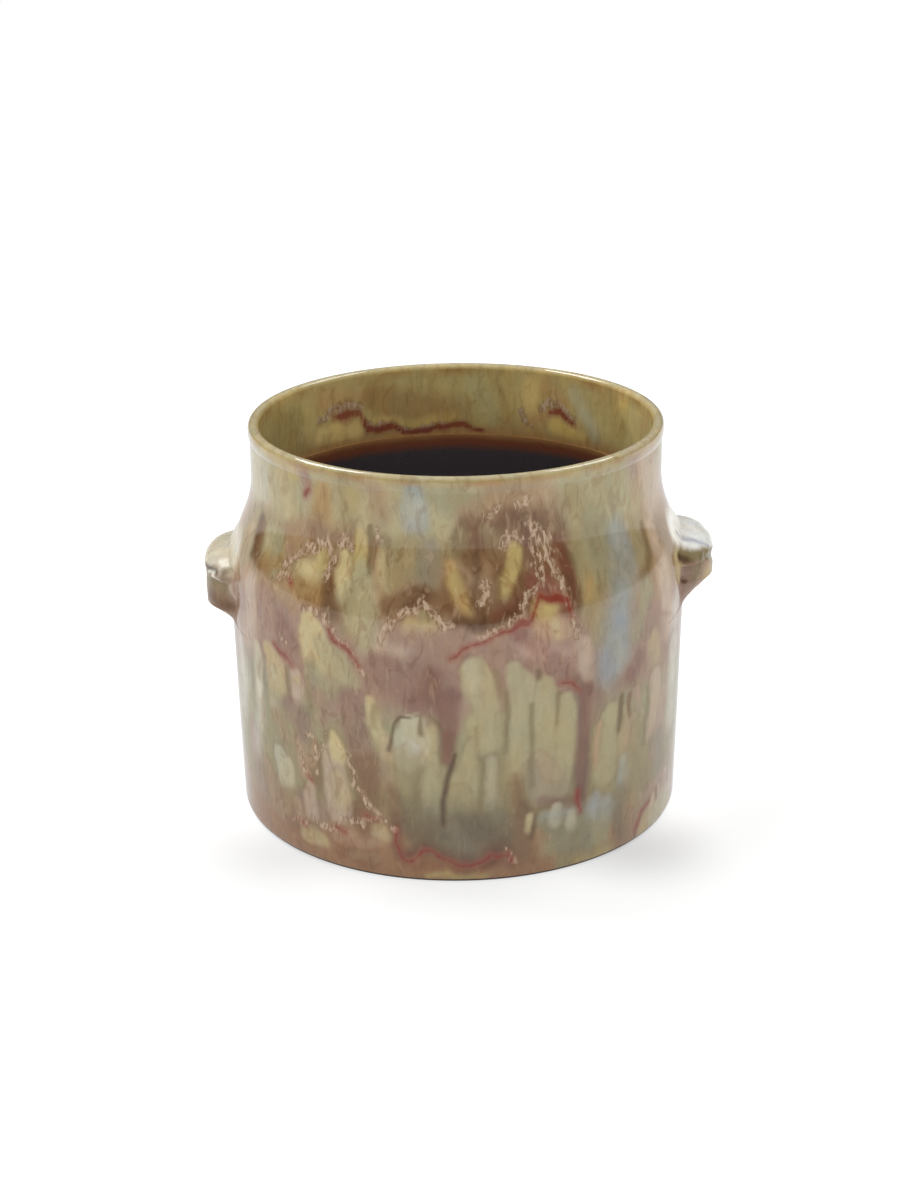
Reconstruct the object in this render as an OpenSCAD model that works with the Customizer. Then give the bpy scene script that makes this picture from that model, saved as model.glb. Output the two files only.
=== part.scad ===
// Hand-built stoneware planter with a soft shoulder, a rolled rim and two pinched lugs.
// Millimetres, +Z up. The origin is the middle of the underside, and the lugs lie along X.

/* [Pot] */
// Height from the floor to the top of the rim
pot_h = 229; // [160:1:340]
// Outside radius of the wall at the floor
foot_r = 128.3; // [115:0.1:136]
// Outside radius of the belly, the widest part of the wall
belly_r = 131; // [122:0.1:137]
// Height of the upright band between the straight lower wall and the shoulder
belly_h = 15; // [2:1:60]
// Outside radius of the neck
neck_r = 116.8; // [110:0.1:126]
// Thickness of the wall below the shoulder
wall_t = 7; // [4:0.5:12]
// Thickness of the wall at the neck
neck_t = 5.5; // [4:0.5:8]

/* [Shoulder] */
// Height of the upright neck between the shoulder and the rolled rim
neck_h = 20; // [5:1:60]
// Height over which the wall draws in from the belly to the neck
shoulder_h = 58; // [35:1:80]
// Radius of the bends at the bottom and the top of the shoulder
shoulder_bend_r = 60; // [20:1:60]

/* [Floor] */
// Thickness of the slab that the wall stands on
slab_t = 9; // [6:0.5:16]
// Radius of the worn edge round the underside
slab_edge_r = 3; // [1:0.5:5]
// Radius of the cove where the wall meets the floor inside
cove_r = 12; // [4:1:25]

/* [Rim] */
// Distance that the rolled rim stands out past the neck
rim_out = 0.9; // [0:0.1:4]
// Thickness of the rolled rim
rim_t = 6.4; // [5:0.1:9]
// Height of the rolled rim above the neck
rim_h = 9; // [7:0.5:14]
// Height over which the rim swells out from the neck
rim_swell_h = 3.5; // [1:0.5:4]

/* [Liner glaze] */
// Thickness of the dark glaze poured inside
liner_t = 0.8; // [0.4:0.1:2]
// Depth of the liner's upper edge below the top of the rim
liner_depth = 45; // [20:1:120]

/* [Lugs] */
// Distance from the top of the rim down to the middle of a lug's hood
lug_drop = 81; // [70:0.5:110]
// Height difference between the two hand-set lugs
lug_stagger = 6; // [0:0.5:12]
// Reach of the left lug out from the wall
lug_left_reach = 13.9; // [9:0.1:22]
// Reach of the right lug out from the wall
lug_right_reach = 17; // [9:0.1:22]
// Width of a lug's hood along the wall
hood_w = 73; // [50:1:90]
// Height of the hood above its middle
hood_rise = 5.5; // [4:0.5:9]
// Depth of the hood below its middle, down to its lip
hood_fall = 7; // [5:0.5:10]
// Height that the hood's ends curl up
hood_curl = 3; // [0:0.5:6]
// Width of the web that holds the hood from below
web_w = 69; // [40:1:90]
// Distance from the hood's middle down to the web's tip
web_drop = 30; // [22:1:45]
// Slope of the web's underside, from level
web_slope = 64; // [40:1:70]
// Width of the clay smeared flat round the web
smear_w = 118; // [92:1:130]
// Height of the smeared clay above the hood's middle
smear_rise = 13; // [8:1:16]
// Depth of the smeared clay below the hood's middle
smear_fall = 26; // [12:1:40]
// Thickness of the smeared clay
smear_t = 3.5; // [2:0.1:6]

/* [Hidden] */
$fn = 180;

rim_r = neck_r + rim_out;
rim_seat_z = pot_h - rim_h;
shoulder_z = rim_seat_z - neck_h - shoulder_h;
belly_z = shoulder_z - belly_h;
lug_z = pot_h - lug_drop;
belly_in_r = belly_r - wall_t;
neck_in_r = neck_r - neck_t;
liner_top_z = pot_h - liner_depth;

// Points along each bend, and along the half round of the rim
bend_steps = 8;
round_steps = 16;

// A lug is drawn as a grid of points over the wall, wider than the lug by grid_margin all round
lug_columns = 44;
lug_rows = 24;
grid_margin = 3;
// Depth that the grid lies below the wall's surface past the lug's edge, before the wall is cut away
lug_sink = 1;
// Fullness of the outlines: 2 is an ellipse, more is squarer
hood_fullness = 2.3;
smear_fullness = 2.5;
// Sharpness of the corner where the nose turns into the underside
lug_corner = 8;
// Rate at which the web draws in above the hood's middle
web_fade = 3;

function arc(x, z, r, from, to, steps) =
    [for (i = [0:steps]) let (a = from + (to - from) * i / steps) [x + r * cos(a), z + r * sin(a)]];

// Outside radius of the straight lower wall
function lower_r(z) = foot_r + (belly_r - foot_r) * min(1, z / belly_z);

// The shoulder from radius r0 in to radius r1, as two bends with a straight lean between them. The
// bends are drawn smaller where the shoulder is too low for them.
function shoulder(r0, r1, low_bend, high_bend) =
    let (
        room = (pow(r0 - r1, 2) + pow(shoulder_h, 2)) / (2 * (r0 - r1)),
        share = min(1, room / (low_bend + high_bend)),
        low = low_bend * share,
        high = high_bend * share,
        across = low + high - (r0 - r1),
        lean_h = sqrt(max(0, pow(across, 2) + pow(shoulder_h, 2) - pow(low + high, 2))),
        lean = atan2(shoulder_h, across) - atan2(lean_h, low + high)
    )
    concat(
        arc(r0 - low, shoulder_z, low, 0, lean, bend_steps),
        arc(r1 + high, shoulder_z + shoulder_h, high, 180 + lean, 180, bend_steps)
    );

outer_line = concat(
    [[lower_r(slab_t), slab_t], [belly_r, belly_z]],
    shoulder(belly_r, neck_r, shoulder_bend_r, shoulder_bend_r),
    [[neck_r, rim_seat_z]]
);

// The hollow inside the wall, drawn smaller by inset all round
function inner_line(inset) = concat(
    arc(lower_r(cove_r) - wall_t - cove_r, slab_t + cove_r, cove_r - inset, -90, 0, bend_steps),
    [[belly_in_r - inset, belly_z]],
    shoulder(belly_in_r - inset, neck_in_r - inset, shoulder_bend_r - wall_t, shoulder_bend_r + neck_t),
    [[neck_in_r - inset, rim_seat_z]]
);

// Outside radius of the wall at any height
outer_table = [for (p = outer_line) [p[1], p[0]]];
function wall_r(z) = lookup(z, outer_table);

// The smaller of two lengths, with the corner between them rounded
function soft_min(a, b) = pow(pow(a, -lug_corner) + pow(b, -lug_corner), -1 / lug_corner);

// Square root that keeps its sign, so that a form goes below the wall past its own edge
function signed_root(x) = sign(x) * sqrt(abs(x));

// Share of a form's half size at which a place lies, to a power
function part_of(x, half, fullness) = pow(abs(x) / half, fullness);

// Reach out from the wall of each form of a lug, at x along the wall and at up above the hood's middle
function hood_reach(x, up, reach) =
    let (
        over = up - hood_curl * pow(x / (hood_w / 2), 2),
        h = over > 0 ? hood_rise : hood_fall
    )
    reach * signed_root(1 - part_of(x, hood_w / 2, hood_fullness) - part_of(over, h, hood_fullness));
function web_reach(x, up, reach) =
    let (under = max(0.01, (up + web_drop) * tan(web_slope)))
    soft_min(reach, under) * (1 - part_of(x, web_w / 2, 2)) - max(0, up) * web_fade;
function smear_reach(x, up) =
    let (h = up > 0 ? smear_rise : smear_fall)
    smear_t * signed_root(1 - part_of(x, smear_w / 2, smear_fullness) - part_of(up, h, smear_fullness));
function lug_reach(x, up, reach) =
    max(hood_reach(x, up, reach), web_reach(x, up, reach), smear_reach(x, up), -lug_sink);

// The grid's corners: half its width, and its lowest and highest places above the hood's middle
grid_half_w = max(hood_w, web_w, smear_w) / 2 + grid_margin;
grid_low = -max(web_drop, smear_fall) - grid_margin;
grid_high = max(hood_rise + hood_curl, smear_rise) + grid_margin;

function lug_point(i, j, mid_z, reach) =
    let (
        x = grid_half_w * (2 * i / lug_columns - 1),
        up = grid_low + (grid_high - grid_low) * j / lug_rows,
        on_edge = i == 0 || i == lug_columns || j == 0 || j == lug_rows,
        r = wall_r(mid_z + up) + (on_edge ? -lug_sink : lug_reach(x, up, reach)),
        turn = x / belly_r * 180 / PI
    )
    [r * cos(turn), r * sin(turn), mid_z + up];

// The grid's points row by row, then the point inside the wall that closes the shape
function lug_points(mid_z, reach) = concat(
    [for (j = [0:lug_rows], i = [0:lug_columns]) lug_point(i, j, mid_z, reach)],
    [[belly_in_r, 0, mid_z + (grid_low + grid_high) / 2]]
);
function grid_index(i, j) = j * (lug_columns + 1) + i;
lug_last = (lug_columns + 1) * (lug_rows + 1);
lug_faces = concat(
    [for (j = [0:lug_rows - 1], i = [0:lug_columns - 1])
        [grid_index(i, j), grid_index(i + 1, j + 1), grid_index(i + 1, j)]],
    [for (j = [0:lug_rows - 1], i = [0:lug_columns - 1])
        [grid_index(i, j), grid_index(i, j + 1), grid_index(i + 1, j + 1)]],
    [for (i = [0:lug_columns - 1]) [grid_index(i, 0), grid_index(i + 1, 0), lug_last]],
    [for (i = [0:lug_columns - 1]) [grid_index(i + 1, lug_rows), grid_index(i, lug_rows), lug_last]],
    [for (j = [0:lug_rows - 1]) [grid_index(0, j + 1), grid_index(0, j), lug_last]],
    [for (j = [0:lug_rows - 1]) [grid_index(lug_columns, j), grid_index(lug_columns, j + 1), lug_last]]
);

// The pot's outside as a filled shape, from the slab to the rim
module outer_half() {
    polygon(concat([[0, slab_t]], outer_line, [[0, rim_seat_z]]));
}

// The room inside the wall, as a filled shape
module inner_half(inset) {
    polygon(concat([[0, slab_t + inset]], inner_line(inset), [[0, rim_seat_z]]));
}

// A lug at its place on the +X side, cut to the wall so that the two meet face to face
module lug(mid_z, reach) {
    difference() {
        polyhedron(points = lug_points(mid_z, reach), faces = lug_faces, convexity = 6);
        rotate_extrude() outer_half();
    }
}

// Slab that the wall stands on, with a worn edge round its flat underside
module base_slab() {
    color("peru")
    rotate_extrude()
        polygon(concat(
            [[0, 0]],
            arc(lower_r(slab_edge_r) - slab_edge_r, slab_edge_r, slab_edge_r, -90, 0, bend_steps),
            [[lower_r(slab_t), slab_t], [0, slab_t]]
        ));
}

// Wall from the slab up over the shoulder to the neck
module wall() {
    color("darkkhaki")
    rotate_extrude()
        difference() {
            outer_half();
            inner_half(0);
        }
}

// Rolled rim that swells out over the neck
module rim_coil() {
    rim_mid_r = rim_r - rim_t / 2;
    color("burlywood")
    rotate_extrude()
        polygon(concat(
            [[neck_in_r, rim_seat_z], [neck_r, rim_seat_z], [rim_r, rim_seat_z + rim_swell_h]],
            arc(rim_mid_r, pot_h - rim_t / 2, rim_t / 2, 0, 180, round_steps)
        ));
}

// Dark glaze over the floor and up the inside of the wall
module liner_glaze() {
    color([0.13, 0.1, 0.09])
    rotate_extrude()
        difference() {
            intersection() {
                inner_half(0);
                square([max(foot_r, belly_r), liner_top_z]);
            }
            inner_half(liner_t);
        }
}

module lug_left() {
    color("beige")
    rotate([0, 0, 180])
        lug(lug_z - lug_stagger / 2, lug_left_reach);
}

module lug_right() {
    color("beige")
    lug(lug_z + lug_stagger / 2, lug_right_reach);
}

base_slab();
wall();
rim_coil();
liner_glaze();
lug_left();
lug_right();
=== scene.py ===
"""Looks of a hand-built stoneware planter in a reactive drip glaze.

The pot stands on the frame's origin with +Z up and its lugs along X. A place on the pot is written as
a turn in degrees, counted from the front and positive towards +X, and a height in millimetres. Sizes
are in millimetres and colours are sRGB from 0 to 255, where nothing else is said.
"""

from __future__ import annotations

import logging
import math
from dataclasses import dataclass, field
from enum import Enum

import bpy
import numpy as np
from mathutils import Matrix, Vector

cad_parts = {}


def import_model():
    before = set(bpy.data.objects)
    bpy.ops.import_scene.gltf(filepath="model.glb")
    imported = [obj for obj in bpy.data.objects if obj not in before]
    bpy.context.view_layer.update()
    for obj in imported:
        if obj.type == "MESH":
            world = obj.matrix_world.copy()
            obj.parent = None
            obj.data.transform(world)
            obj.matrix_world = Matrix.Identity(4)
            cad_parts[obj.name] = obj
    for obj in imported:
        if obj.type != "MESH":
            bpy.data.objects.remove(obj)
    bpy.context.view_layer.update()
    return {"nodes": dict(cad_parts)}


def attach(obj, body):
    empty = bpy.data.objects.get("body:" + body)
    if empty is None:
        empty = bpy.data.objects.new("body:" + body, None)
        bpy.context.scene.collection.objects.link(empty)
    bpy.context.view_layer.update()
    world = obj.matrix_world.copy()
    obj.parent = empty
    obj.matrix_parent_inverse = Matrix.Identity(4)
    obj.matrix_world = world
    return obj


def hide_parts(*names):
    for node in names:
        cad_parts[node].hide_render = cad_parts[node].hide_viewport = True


Array = np.ndarray
Triple = tuple[float, float, float]
Path = tuple[Triple, ...]
Piece = bpy.types.Object
Socket = bpy.types.NodeSocket
Value = Socket | float | tuple[float, ...]

log = logging.getLogger("planter")
MM = 0.001
BODY = "root"
SHARPEST = math.radians(50)


class Tone(Enum):
    """Glaze colours as the eye names them, without the gloss that lies over them, and one near-white for
    painted highlights.
    """

    CELADON = (166, 155, 118)
    PALE_CELADON = (184, 176, 148)
    MILK = (206, 198, 176)
    # Not a glaze colour: a painted highlight, and painted light on tops and at the sides.
    PAINTED_HIGHLIGHT = (238, 234, 222)
    MIST = (216, 220, 220)
    CREAM = (184, 165, 120)
    BUTTER = (190, 174, 130)
    STRAW = (178, 158, 104)
    OCHRE = (168, 140, 92)
    HONEY = (150, 118, 74)
    OLIVE = (148, 134, 96)
    MOSS = (128, 114, 78)
    DARK_OLIVE = (104, 84, 52)
    LEAF_GREY = (150, 144, 112)
    BLUE_GREY = (146, 149, 140)
    SKY = (154, 157, 152)
    BLUE = (132, 138, 158)
    ASH = (138, 128, 106)
    STONE = (118, 109, 86)
    SLATE = (98, 92, 80)
    TAN = (156, 128, 96)
    BROWN = (122, 92, 64)
    DARK_BROWN = (98, 72, 50)
    UMBER = (82, 58, 40)
    PEACH = (174, 142, 112)
    SHELL = (186, 164, 142)
    ROSE = (168, 138, 122)
    PINK_MAUVE = (150, 122, 104)
    MAUVE = (138, 108, 92)
    DEEP_MAUVE = (120, 86, 74)
    PLUM = (136, 88, 76)
    RED = (118, 50, 38)
    RUST = (112, 66, 48)
    SIENNA = (124, 78, 50)
    IRON = (96, 50, 34)
    DRAB = (108, 92, 68)
    ORANGE_BROWN = (152, 112, 78)
    AMBER = (150, 98, 48)


def linear(tone: Tone | Triple) -> Array:
    """Turns a named or bare sRGB colour into linear light, by the standard line and power curve."""
    srgb = np.asarray(tone.value if isinstance(tone, Tone) else tone, float) / 255
    return np.where(srgb <= 0.04045, srgb / 12.92, ((srgb + 0.055) / 1.055) ** 2.4)


def rgba(tone: Tone | Triple) -> tuple[float, float, float, float]:
    """A tone as four linear values."""
    return (*linear(tone).tolist(), 1.0)


@dataclass(frozen=True)
class Stroke:
    """One flow of glaze: a chain of discs that run into each other.

    Attributes:
        tone: The colour.
        path: Turn in degrees, height and half width in millimetres, point by point.
        edge: Width in millimetres over which the flow fades out.
        mix: How much of what lies below it hides.
    """

    tone: Tone
    path: Path
    edge: float
    mix: float


@dataclass(frozen=True)
class Layer:
    """A table of strokes, lowest first, with what they share.

    Attributes:
        stir: How strongly the glaze is marbled there, from 0 to 1.
        outline: How strongly each stroke darkens along its border.
        crisp: Factor on the width of every edge.
    """

    strokes: tuple[Stroke, ...]
    stir: float = 0.5
    outline: float = 0.0
    crisp: float = 1.0


class SmoothNoise:
    """Repeatable lattice noise: random numbers on a cubic lattice, blended between by 3t^2 - 2t^3."""

    FINER_SHIFT = 91.7

    def __init__(self, seed: int, size: int = 24) -> None:
        """Fills the lattice from a seed, with so many points along each side, after which it repeats."""
        self.size = size
        self.table = np.random.default_rng(seed).uniform(-1, 1, (size, size, size))

    def at(self, points: Array, bump: float) -> Array:
        """Reads the noise at some places.

        Args:
            points: Places in millimetres, one row each.
            bump: Size of one bump in millimetres.

        Returns:
            One value from -1 to 1 for each place.
        """
        place = points / bump
        cell = np.floor(place).astype(int)
        part = place - cell
        part = part * part * (3 - 2 * part)
        total = np.zeros(len(points))
        for corner in np.ndindex(2, 2, 2):
            index = (cell + np.array(corner)) % self.size
            weight = np.prod(np.where(np.array(corner) == 1, part, 1 - part), axis=1)
            total += weight * self.table[index[:, 0], index[:, 1], index[:, 2]]
        return total

    def layered(self, points: Array, bump: float) -> Array:
        """Sums two layers of the noise, the second half the size and half as strong."""
        return self.at(points, bump) + 0.5 * self.at(points + self.FINER_SHIFT, bump / 2)


@dataclass(frozen=True)
class Ripple:
    """One use of the noise: depth times its value, with bumps of one size in millimetres.

    The shift moves the pattern, so that two ripples differ. The squeeze multiplies the height, so bumps
    stand upright where it is small. A layered ripple adds a finer layer.
    """

    depth: float
    bump: float
    shift: float = 0.0
    squeeze: float = 1.0
    layered: bool = False

    def at(self, noise: SmoothNoise, points: Array) -> Array:
        """Reads the ripple at places in millimetres."""
        moved = points * (1, 1, self.squeeze) + self.shift
        return self.depth * (noise.layered if self.layered else noise.at)(moved, self.bump)


@dataclass(frozen=True)
class PotProfile:
    """Sizes of the pot's round body in millimetres, and the lines that they give."""

    height: float = 229.0
    foot_radius: float = 128.3
    belly_radius: float = 131.0
    neck_radius: float = 116.8
    wall: float = 7.0
    neck_wall: float = 5.5
    slab: float = 9.0
    slab_edge: float = 3.0
    cove: float = 12.0
    belly_start: float = 127.0
    shoulder_start: float = 142.0
    shoulder_height: float = 58.0
    bend: float = 60.0
    bend_points: int = 14
    rim_height: float = 9.0
    rim_overhang: float = 0.9
    rim_swell: float = 3.5
    wave_depth: float = 0.22
    wave_length: float = 62.0

    @property
    def rim_seat(self) -> float:
        """Height at which the rolled rim sits on the neck."""
        return self.height - self.rim_height

    def lower_radius(self, height: float) -> float:
        """Outside radius of the straight lower wall at a height."""
        return self.foot_radius + (self.belly_radius - self.foot_radius) * min(1, height / self.belly_start)

    def shoulder(self, low_radius: float, high_radius: float, low_bend: float, high_bend: float) -> Array:
        """Draws the shoulder: a bend inwards, a straight lean, and a bend back upright.

        The lean's angle is that of the line between the bends' centres, less the angle whose tangent is
        the lean's length over both radii.

        Args:
            low_radius: Radius at its bottom.
            high_radius: Radius at its top.
            low_bend: Radius of the lower bend.
            high_bend: Radius of the upper bend.

        Returns:
            Rows of radius and height.
        """
        both = low_bend + high_bend
        across = both - (low_radius - high_radius)
        lean_length = math.sqrt(max(0.0, across**2 + self.shoulder_height**2 - both**2))
        lean = math.atan2(self.shoulder_height, across) - math.atan2(lean_length, both)
        turn = np.linspace(0, lean, self.bend_points)
        back = turn[::-1]
        low = np.stack([low_radius - low_bend * (1 - np.cos(turn)),
                        self.shoulder_start + low_bend * np.sin(turn)], 1)
        high = np.stack([high_radius + high_bend * (1 - np.cos(back)),
                         self.shoulder_start + self.shoulder_height - high_bend * np.sin(back)], 1)
        return np.concatenate([low, high])

    def outer_line(self) -> Array:
        """Rows of radius and height up the outside of the wall, from the slab to the rim's seat."""
        return np.concatenate([
            [[self.lower_radius(0), 0], [self.belly_radius, self.belly_start]],
            self.shoulder(self.belly_radius, self.neck_radius, self.bend, self.bend),
            [[self.neck_radius, self.rim_seat]],
        ])

    def inner_line(self) -> Array:
        """Rows of radius and height up the inside of the wall, from the cove to the rim's seat."""
        belly = self.belly_radius - self.wall
        neck = self.neck_radius - self.neck_wall
        return np.concatenate([
            [[self.lower_radius(self.cove) - self.wall, self.slab + self.cove], [belly, self.belly_start]],
            self.shoulder(belly, neck, self.bend - self.wall, self.bend + self.neck_wall),
            [[neck, self.rim_seat]],
        ])

    def outer_radius(self, heights: Array) -> Array:
        """Outside radius at some heights."""
        line = self.outer_line()
        return np.interp(heights, line[:, 1], line[:, 0])

    def inner_radius(self, heights: Array) -> Array:
        """Inside radius at some heights."""
        line = self.inner_line()
        return np.interp(heights, line[:, 1], line[:, 0])

    def hand_wave(self, points: Array, noise: SmoothNoise) -> Array:
        """Moves places inwards in slow waves, by up to twice wave_depth at the belly."""
        scale = 1 + self.wave_depth * (noise.at(points, self.wave_length) - 1) / self.belly_radius
        return points * np.stack([scale, scale, np.ones(len(points))], 1)


def place_of(points: Array) -> tuple[Array, Array]:
    """Finds turns in degrees, from -180 to 180, and heights of places in millimetres."""
    return np.degrees(np.arctan2(points[:, 0], -points[:, 1])), points[:, 2]


def column_turns(front: int = 400, back: int = 150) -> Array:
    """Turns in degrees of a ring's columns: so many on the front half, and fewer on the back."""
    return np.concatenate([np.linspace(-90, 90, front, endpoint=False),
                           np.linspace(90, 270, back, endpoint=False)])


def around(radius: Array, angle: Array, height: Array) -> Array:
    """Rows of places (r sin t, -r cos t, z) at radius r, turn t in radians and height z."""
    return np.stack([radius * np.sin(angle), -radius * np.cos(angle), height], -1).reshape(-1, 3)


def grid_faces(rows: int, columns: int, close_rows: bool, close_columns: bool) -> Array:
    """Corner numbers of the quads of a grid whose points run column by column along each row.

    Args:
        rows: Number of rows of points.
        columns: Number of points in a row.
        close_rows: Whether the last row joins the first.
        close_columns: Whether the last column joins the first.

    Returns:
        Rows of four corner numbers, facing outwards for a line that climbs the outside.
    """
    row, column = np.meshgrid(np.arange(rows if close_rows else rows - 1),
                              np.arange(columns if close_columns else columns - 1), indexing="ij")
    right = (column + 1) % columns
    this_row = row * columns
    next_row = (row + 1) % rows * columns
    corners = [this_row + column, this_row + right, next_row + right, next_row + column]
    return np.stack(corners, -1).reshape(-1, 4)


def build_mesh(name: str, points: Array, faces: list[list[int]]) -> Piece:
    """Makes a smooth mesh object, with hard edges kept where faces meet sharply.

    Args:
        name: Name of the piece.
        points: Places in millimetres.
        faces: Corner numbers of each face.

    Returns:
        The new object, in the scene.
    """
    mesh = bpy.data.meshes.new(name)
    mesh.from_pydata((points * MM).tolist(), [], faces)
    mesh.update()
    mesh.shade_smooth()
    mesh.set_sharp_from_angle(angle=SHARPEST)
    piece = bpy.data.objects.new(name, mesh)
    bpy.context.scene.collection.objects.link(piece)
    return piece


@dataclass
class Paint:
    """The glaze at some places.

    Attributes:
        tint: Linear colours, one row each.
        stir: Strength of the marbling, from 0 to 1.
        crest: Distance to the nearest feathered crest in millimetres.
        seam: Distance to the nearest iron-red seam in millimetres.
    """

    tint: Array
    stir: Array
    crest: Array
    seam: Array

    NUMBERS = ("stir", "crest", "seam")

    def take(self, marked: Array, other: Paint) -> None:
        """Takes over another paint at marked places."""
        for name in ("tint", *self.NUMBERS):
            getattr(self, name)[marked] = getattr(other, name)

    def store(self, piece: Piece) -> None:
        """Stores the paint, point by point, as the attributes that the glaze's material reads."""
        colours = np.concatenate([self.tint, np.ones((len(self.tint), 1))], 1).astype(np.float32)
        attributes = piece.data.attributes
        attributes.new("glaze_tint", "FLOAT_COLOR", "POINT").data.foreach_set("color", colours.ravel())
        for name in self.NUMBERS:
            values = getattr(self, name).astype(np.float32)
            attributes.new(name, "FLOAT", "POINT").data.foreach_set("value", values)


def flows(*rows: tuple[Tone | float | Triple, ...]) -> tuple[Stroke, ...]:
    """Turns rows of tone, edge, mix and the points of a path into strokes."""
    return tuple(Stroke(tone, tuple(path), edge, mix) for tone, edge, mix, *path in rows)


NECK = flows(
    (Tone.CELADON, 14, 0.85, (-30.5, 216.5, 24), (0, 217, 24), (30, 212.5, 24), (60, 209, 24)),
    (Tone.PALE_CELADON, 10, 0.85, (-74, 206.5, 17), (-63, 207.5, 16)),
    (Tone.CREAM, 8, 0.7, (-53.5, 225.5, 8), (-53, 209, 7), (-51, 198, 6)),
    (Tone.CELADON, 8, 0.8, (-58, 211, 8), (-56, 194.5, 8)),
    (Tone.ROSE, 5, 0.6, (-44.5, 226, 6), (-43.5, 217, 4.5), (-43, 208.5, 3)),
    (Tone.PLUM, 5, 0.5, (-43, 222, 3), (-42.5, 213.5, 3)),
    (Tone.DEEP_MAUVE, 3, 0.6, (-44, 211, 1.8)),
    (Tone.OCHRE, 6, 0.9, (-37.5, 214, 7), (-38, 201, 9)),
    (Tone.HONEY, 5, 0.6, (-36.5, 212, 3), (-38.5, 203, 5), (-39, 198, 4)),
    (Tone.OLIVE, 8, 0.8, (-30.5, 226.5, 9), (-29.5, 208, 7)),
    (Tone.TAN, 7, 0.75, (-23.5, 226.5, 6), (-20.5, 218.5, 6), (-19.5, 206.5, 6)),
    (Tone.LEAF_GREY, 8, 0.8, (-14.5, 227, 6), (-9.5, 221, 9), (-1, 219, 9)),
    (Tone.BLUE_GREY, 5, 0.8, (-11, 219, 6), (-11, 209.5, 8.5), (-11, 204.5, 8)),
    (Tone.BLUE, 6, 0.3, (-11.5, 203.5, 3)),
    (Tone.MILK, 8, 0.28, (-11, 213, 5), (-11, 206, 5)),
    (Tone.OLIVE, 8, 0.6, (0, 217, 8), (5, 212, 6)),
    (Tone.TAN, 8, 0.75, (8, 227, 6), (12, 219, 8), (20, 222, 6)),
    (Tone.PEACH, 6, 0.6, (23, 217, 7)),
    (Tone.OLIVE, 9, 0.6, (31, 210.5, 8), (36, 198, 8)),
    (Tone.ROSE, 8, 0.7, (54.5, 224.5, 8), (56.5, 216, 7)),
    (Tone.SHELL, 10, 0.8, (63.5, 216, 14), (68, 199, 14), (64.5, 191, 10)),
    (Tone.PEACH, 6, 0.5, (56, 199.5, 4), (57, 208, 4)),
    (Tone.STRAW, 7, 0.5, (-28, 217, 4), (-28, 211, 4)),
    (Tone.BROWN, 8, 0.4, (8, 217, 4), (12, 216, 5)),
)

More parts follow.
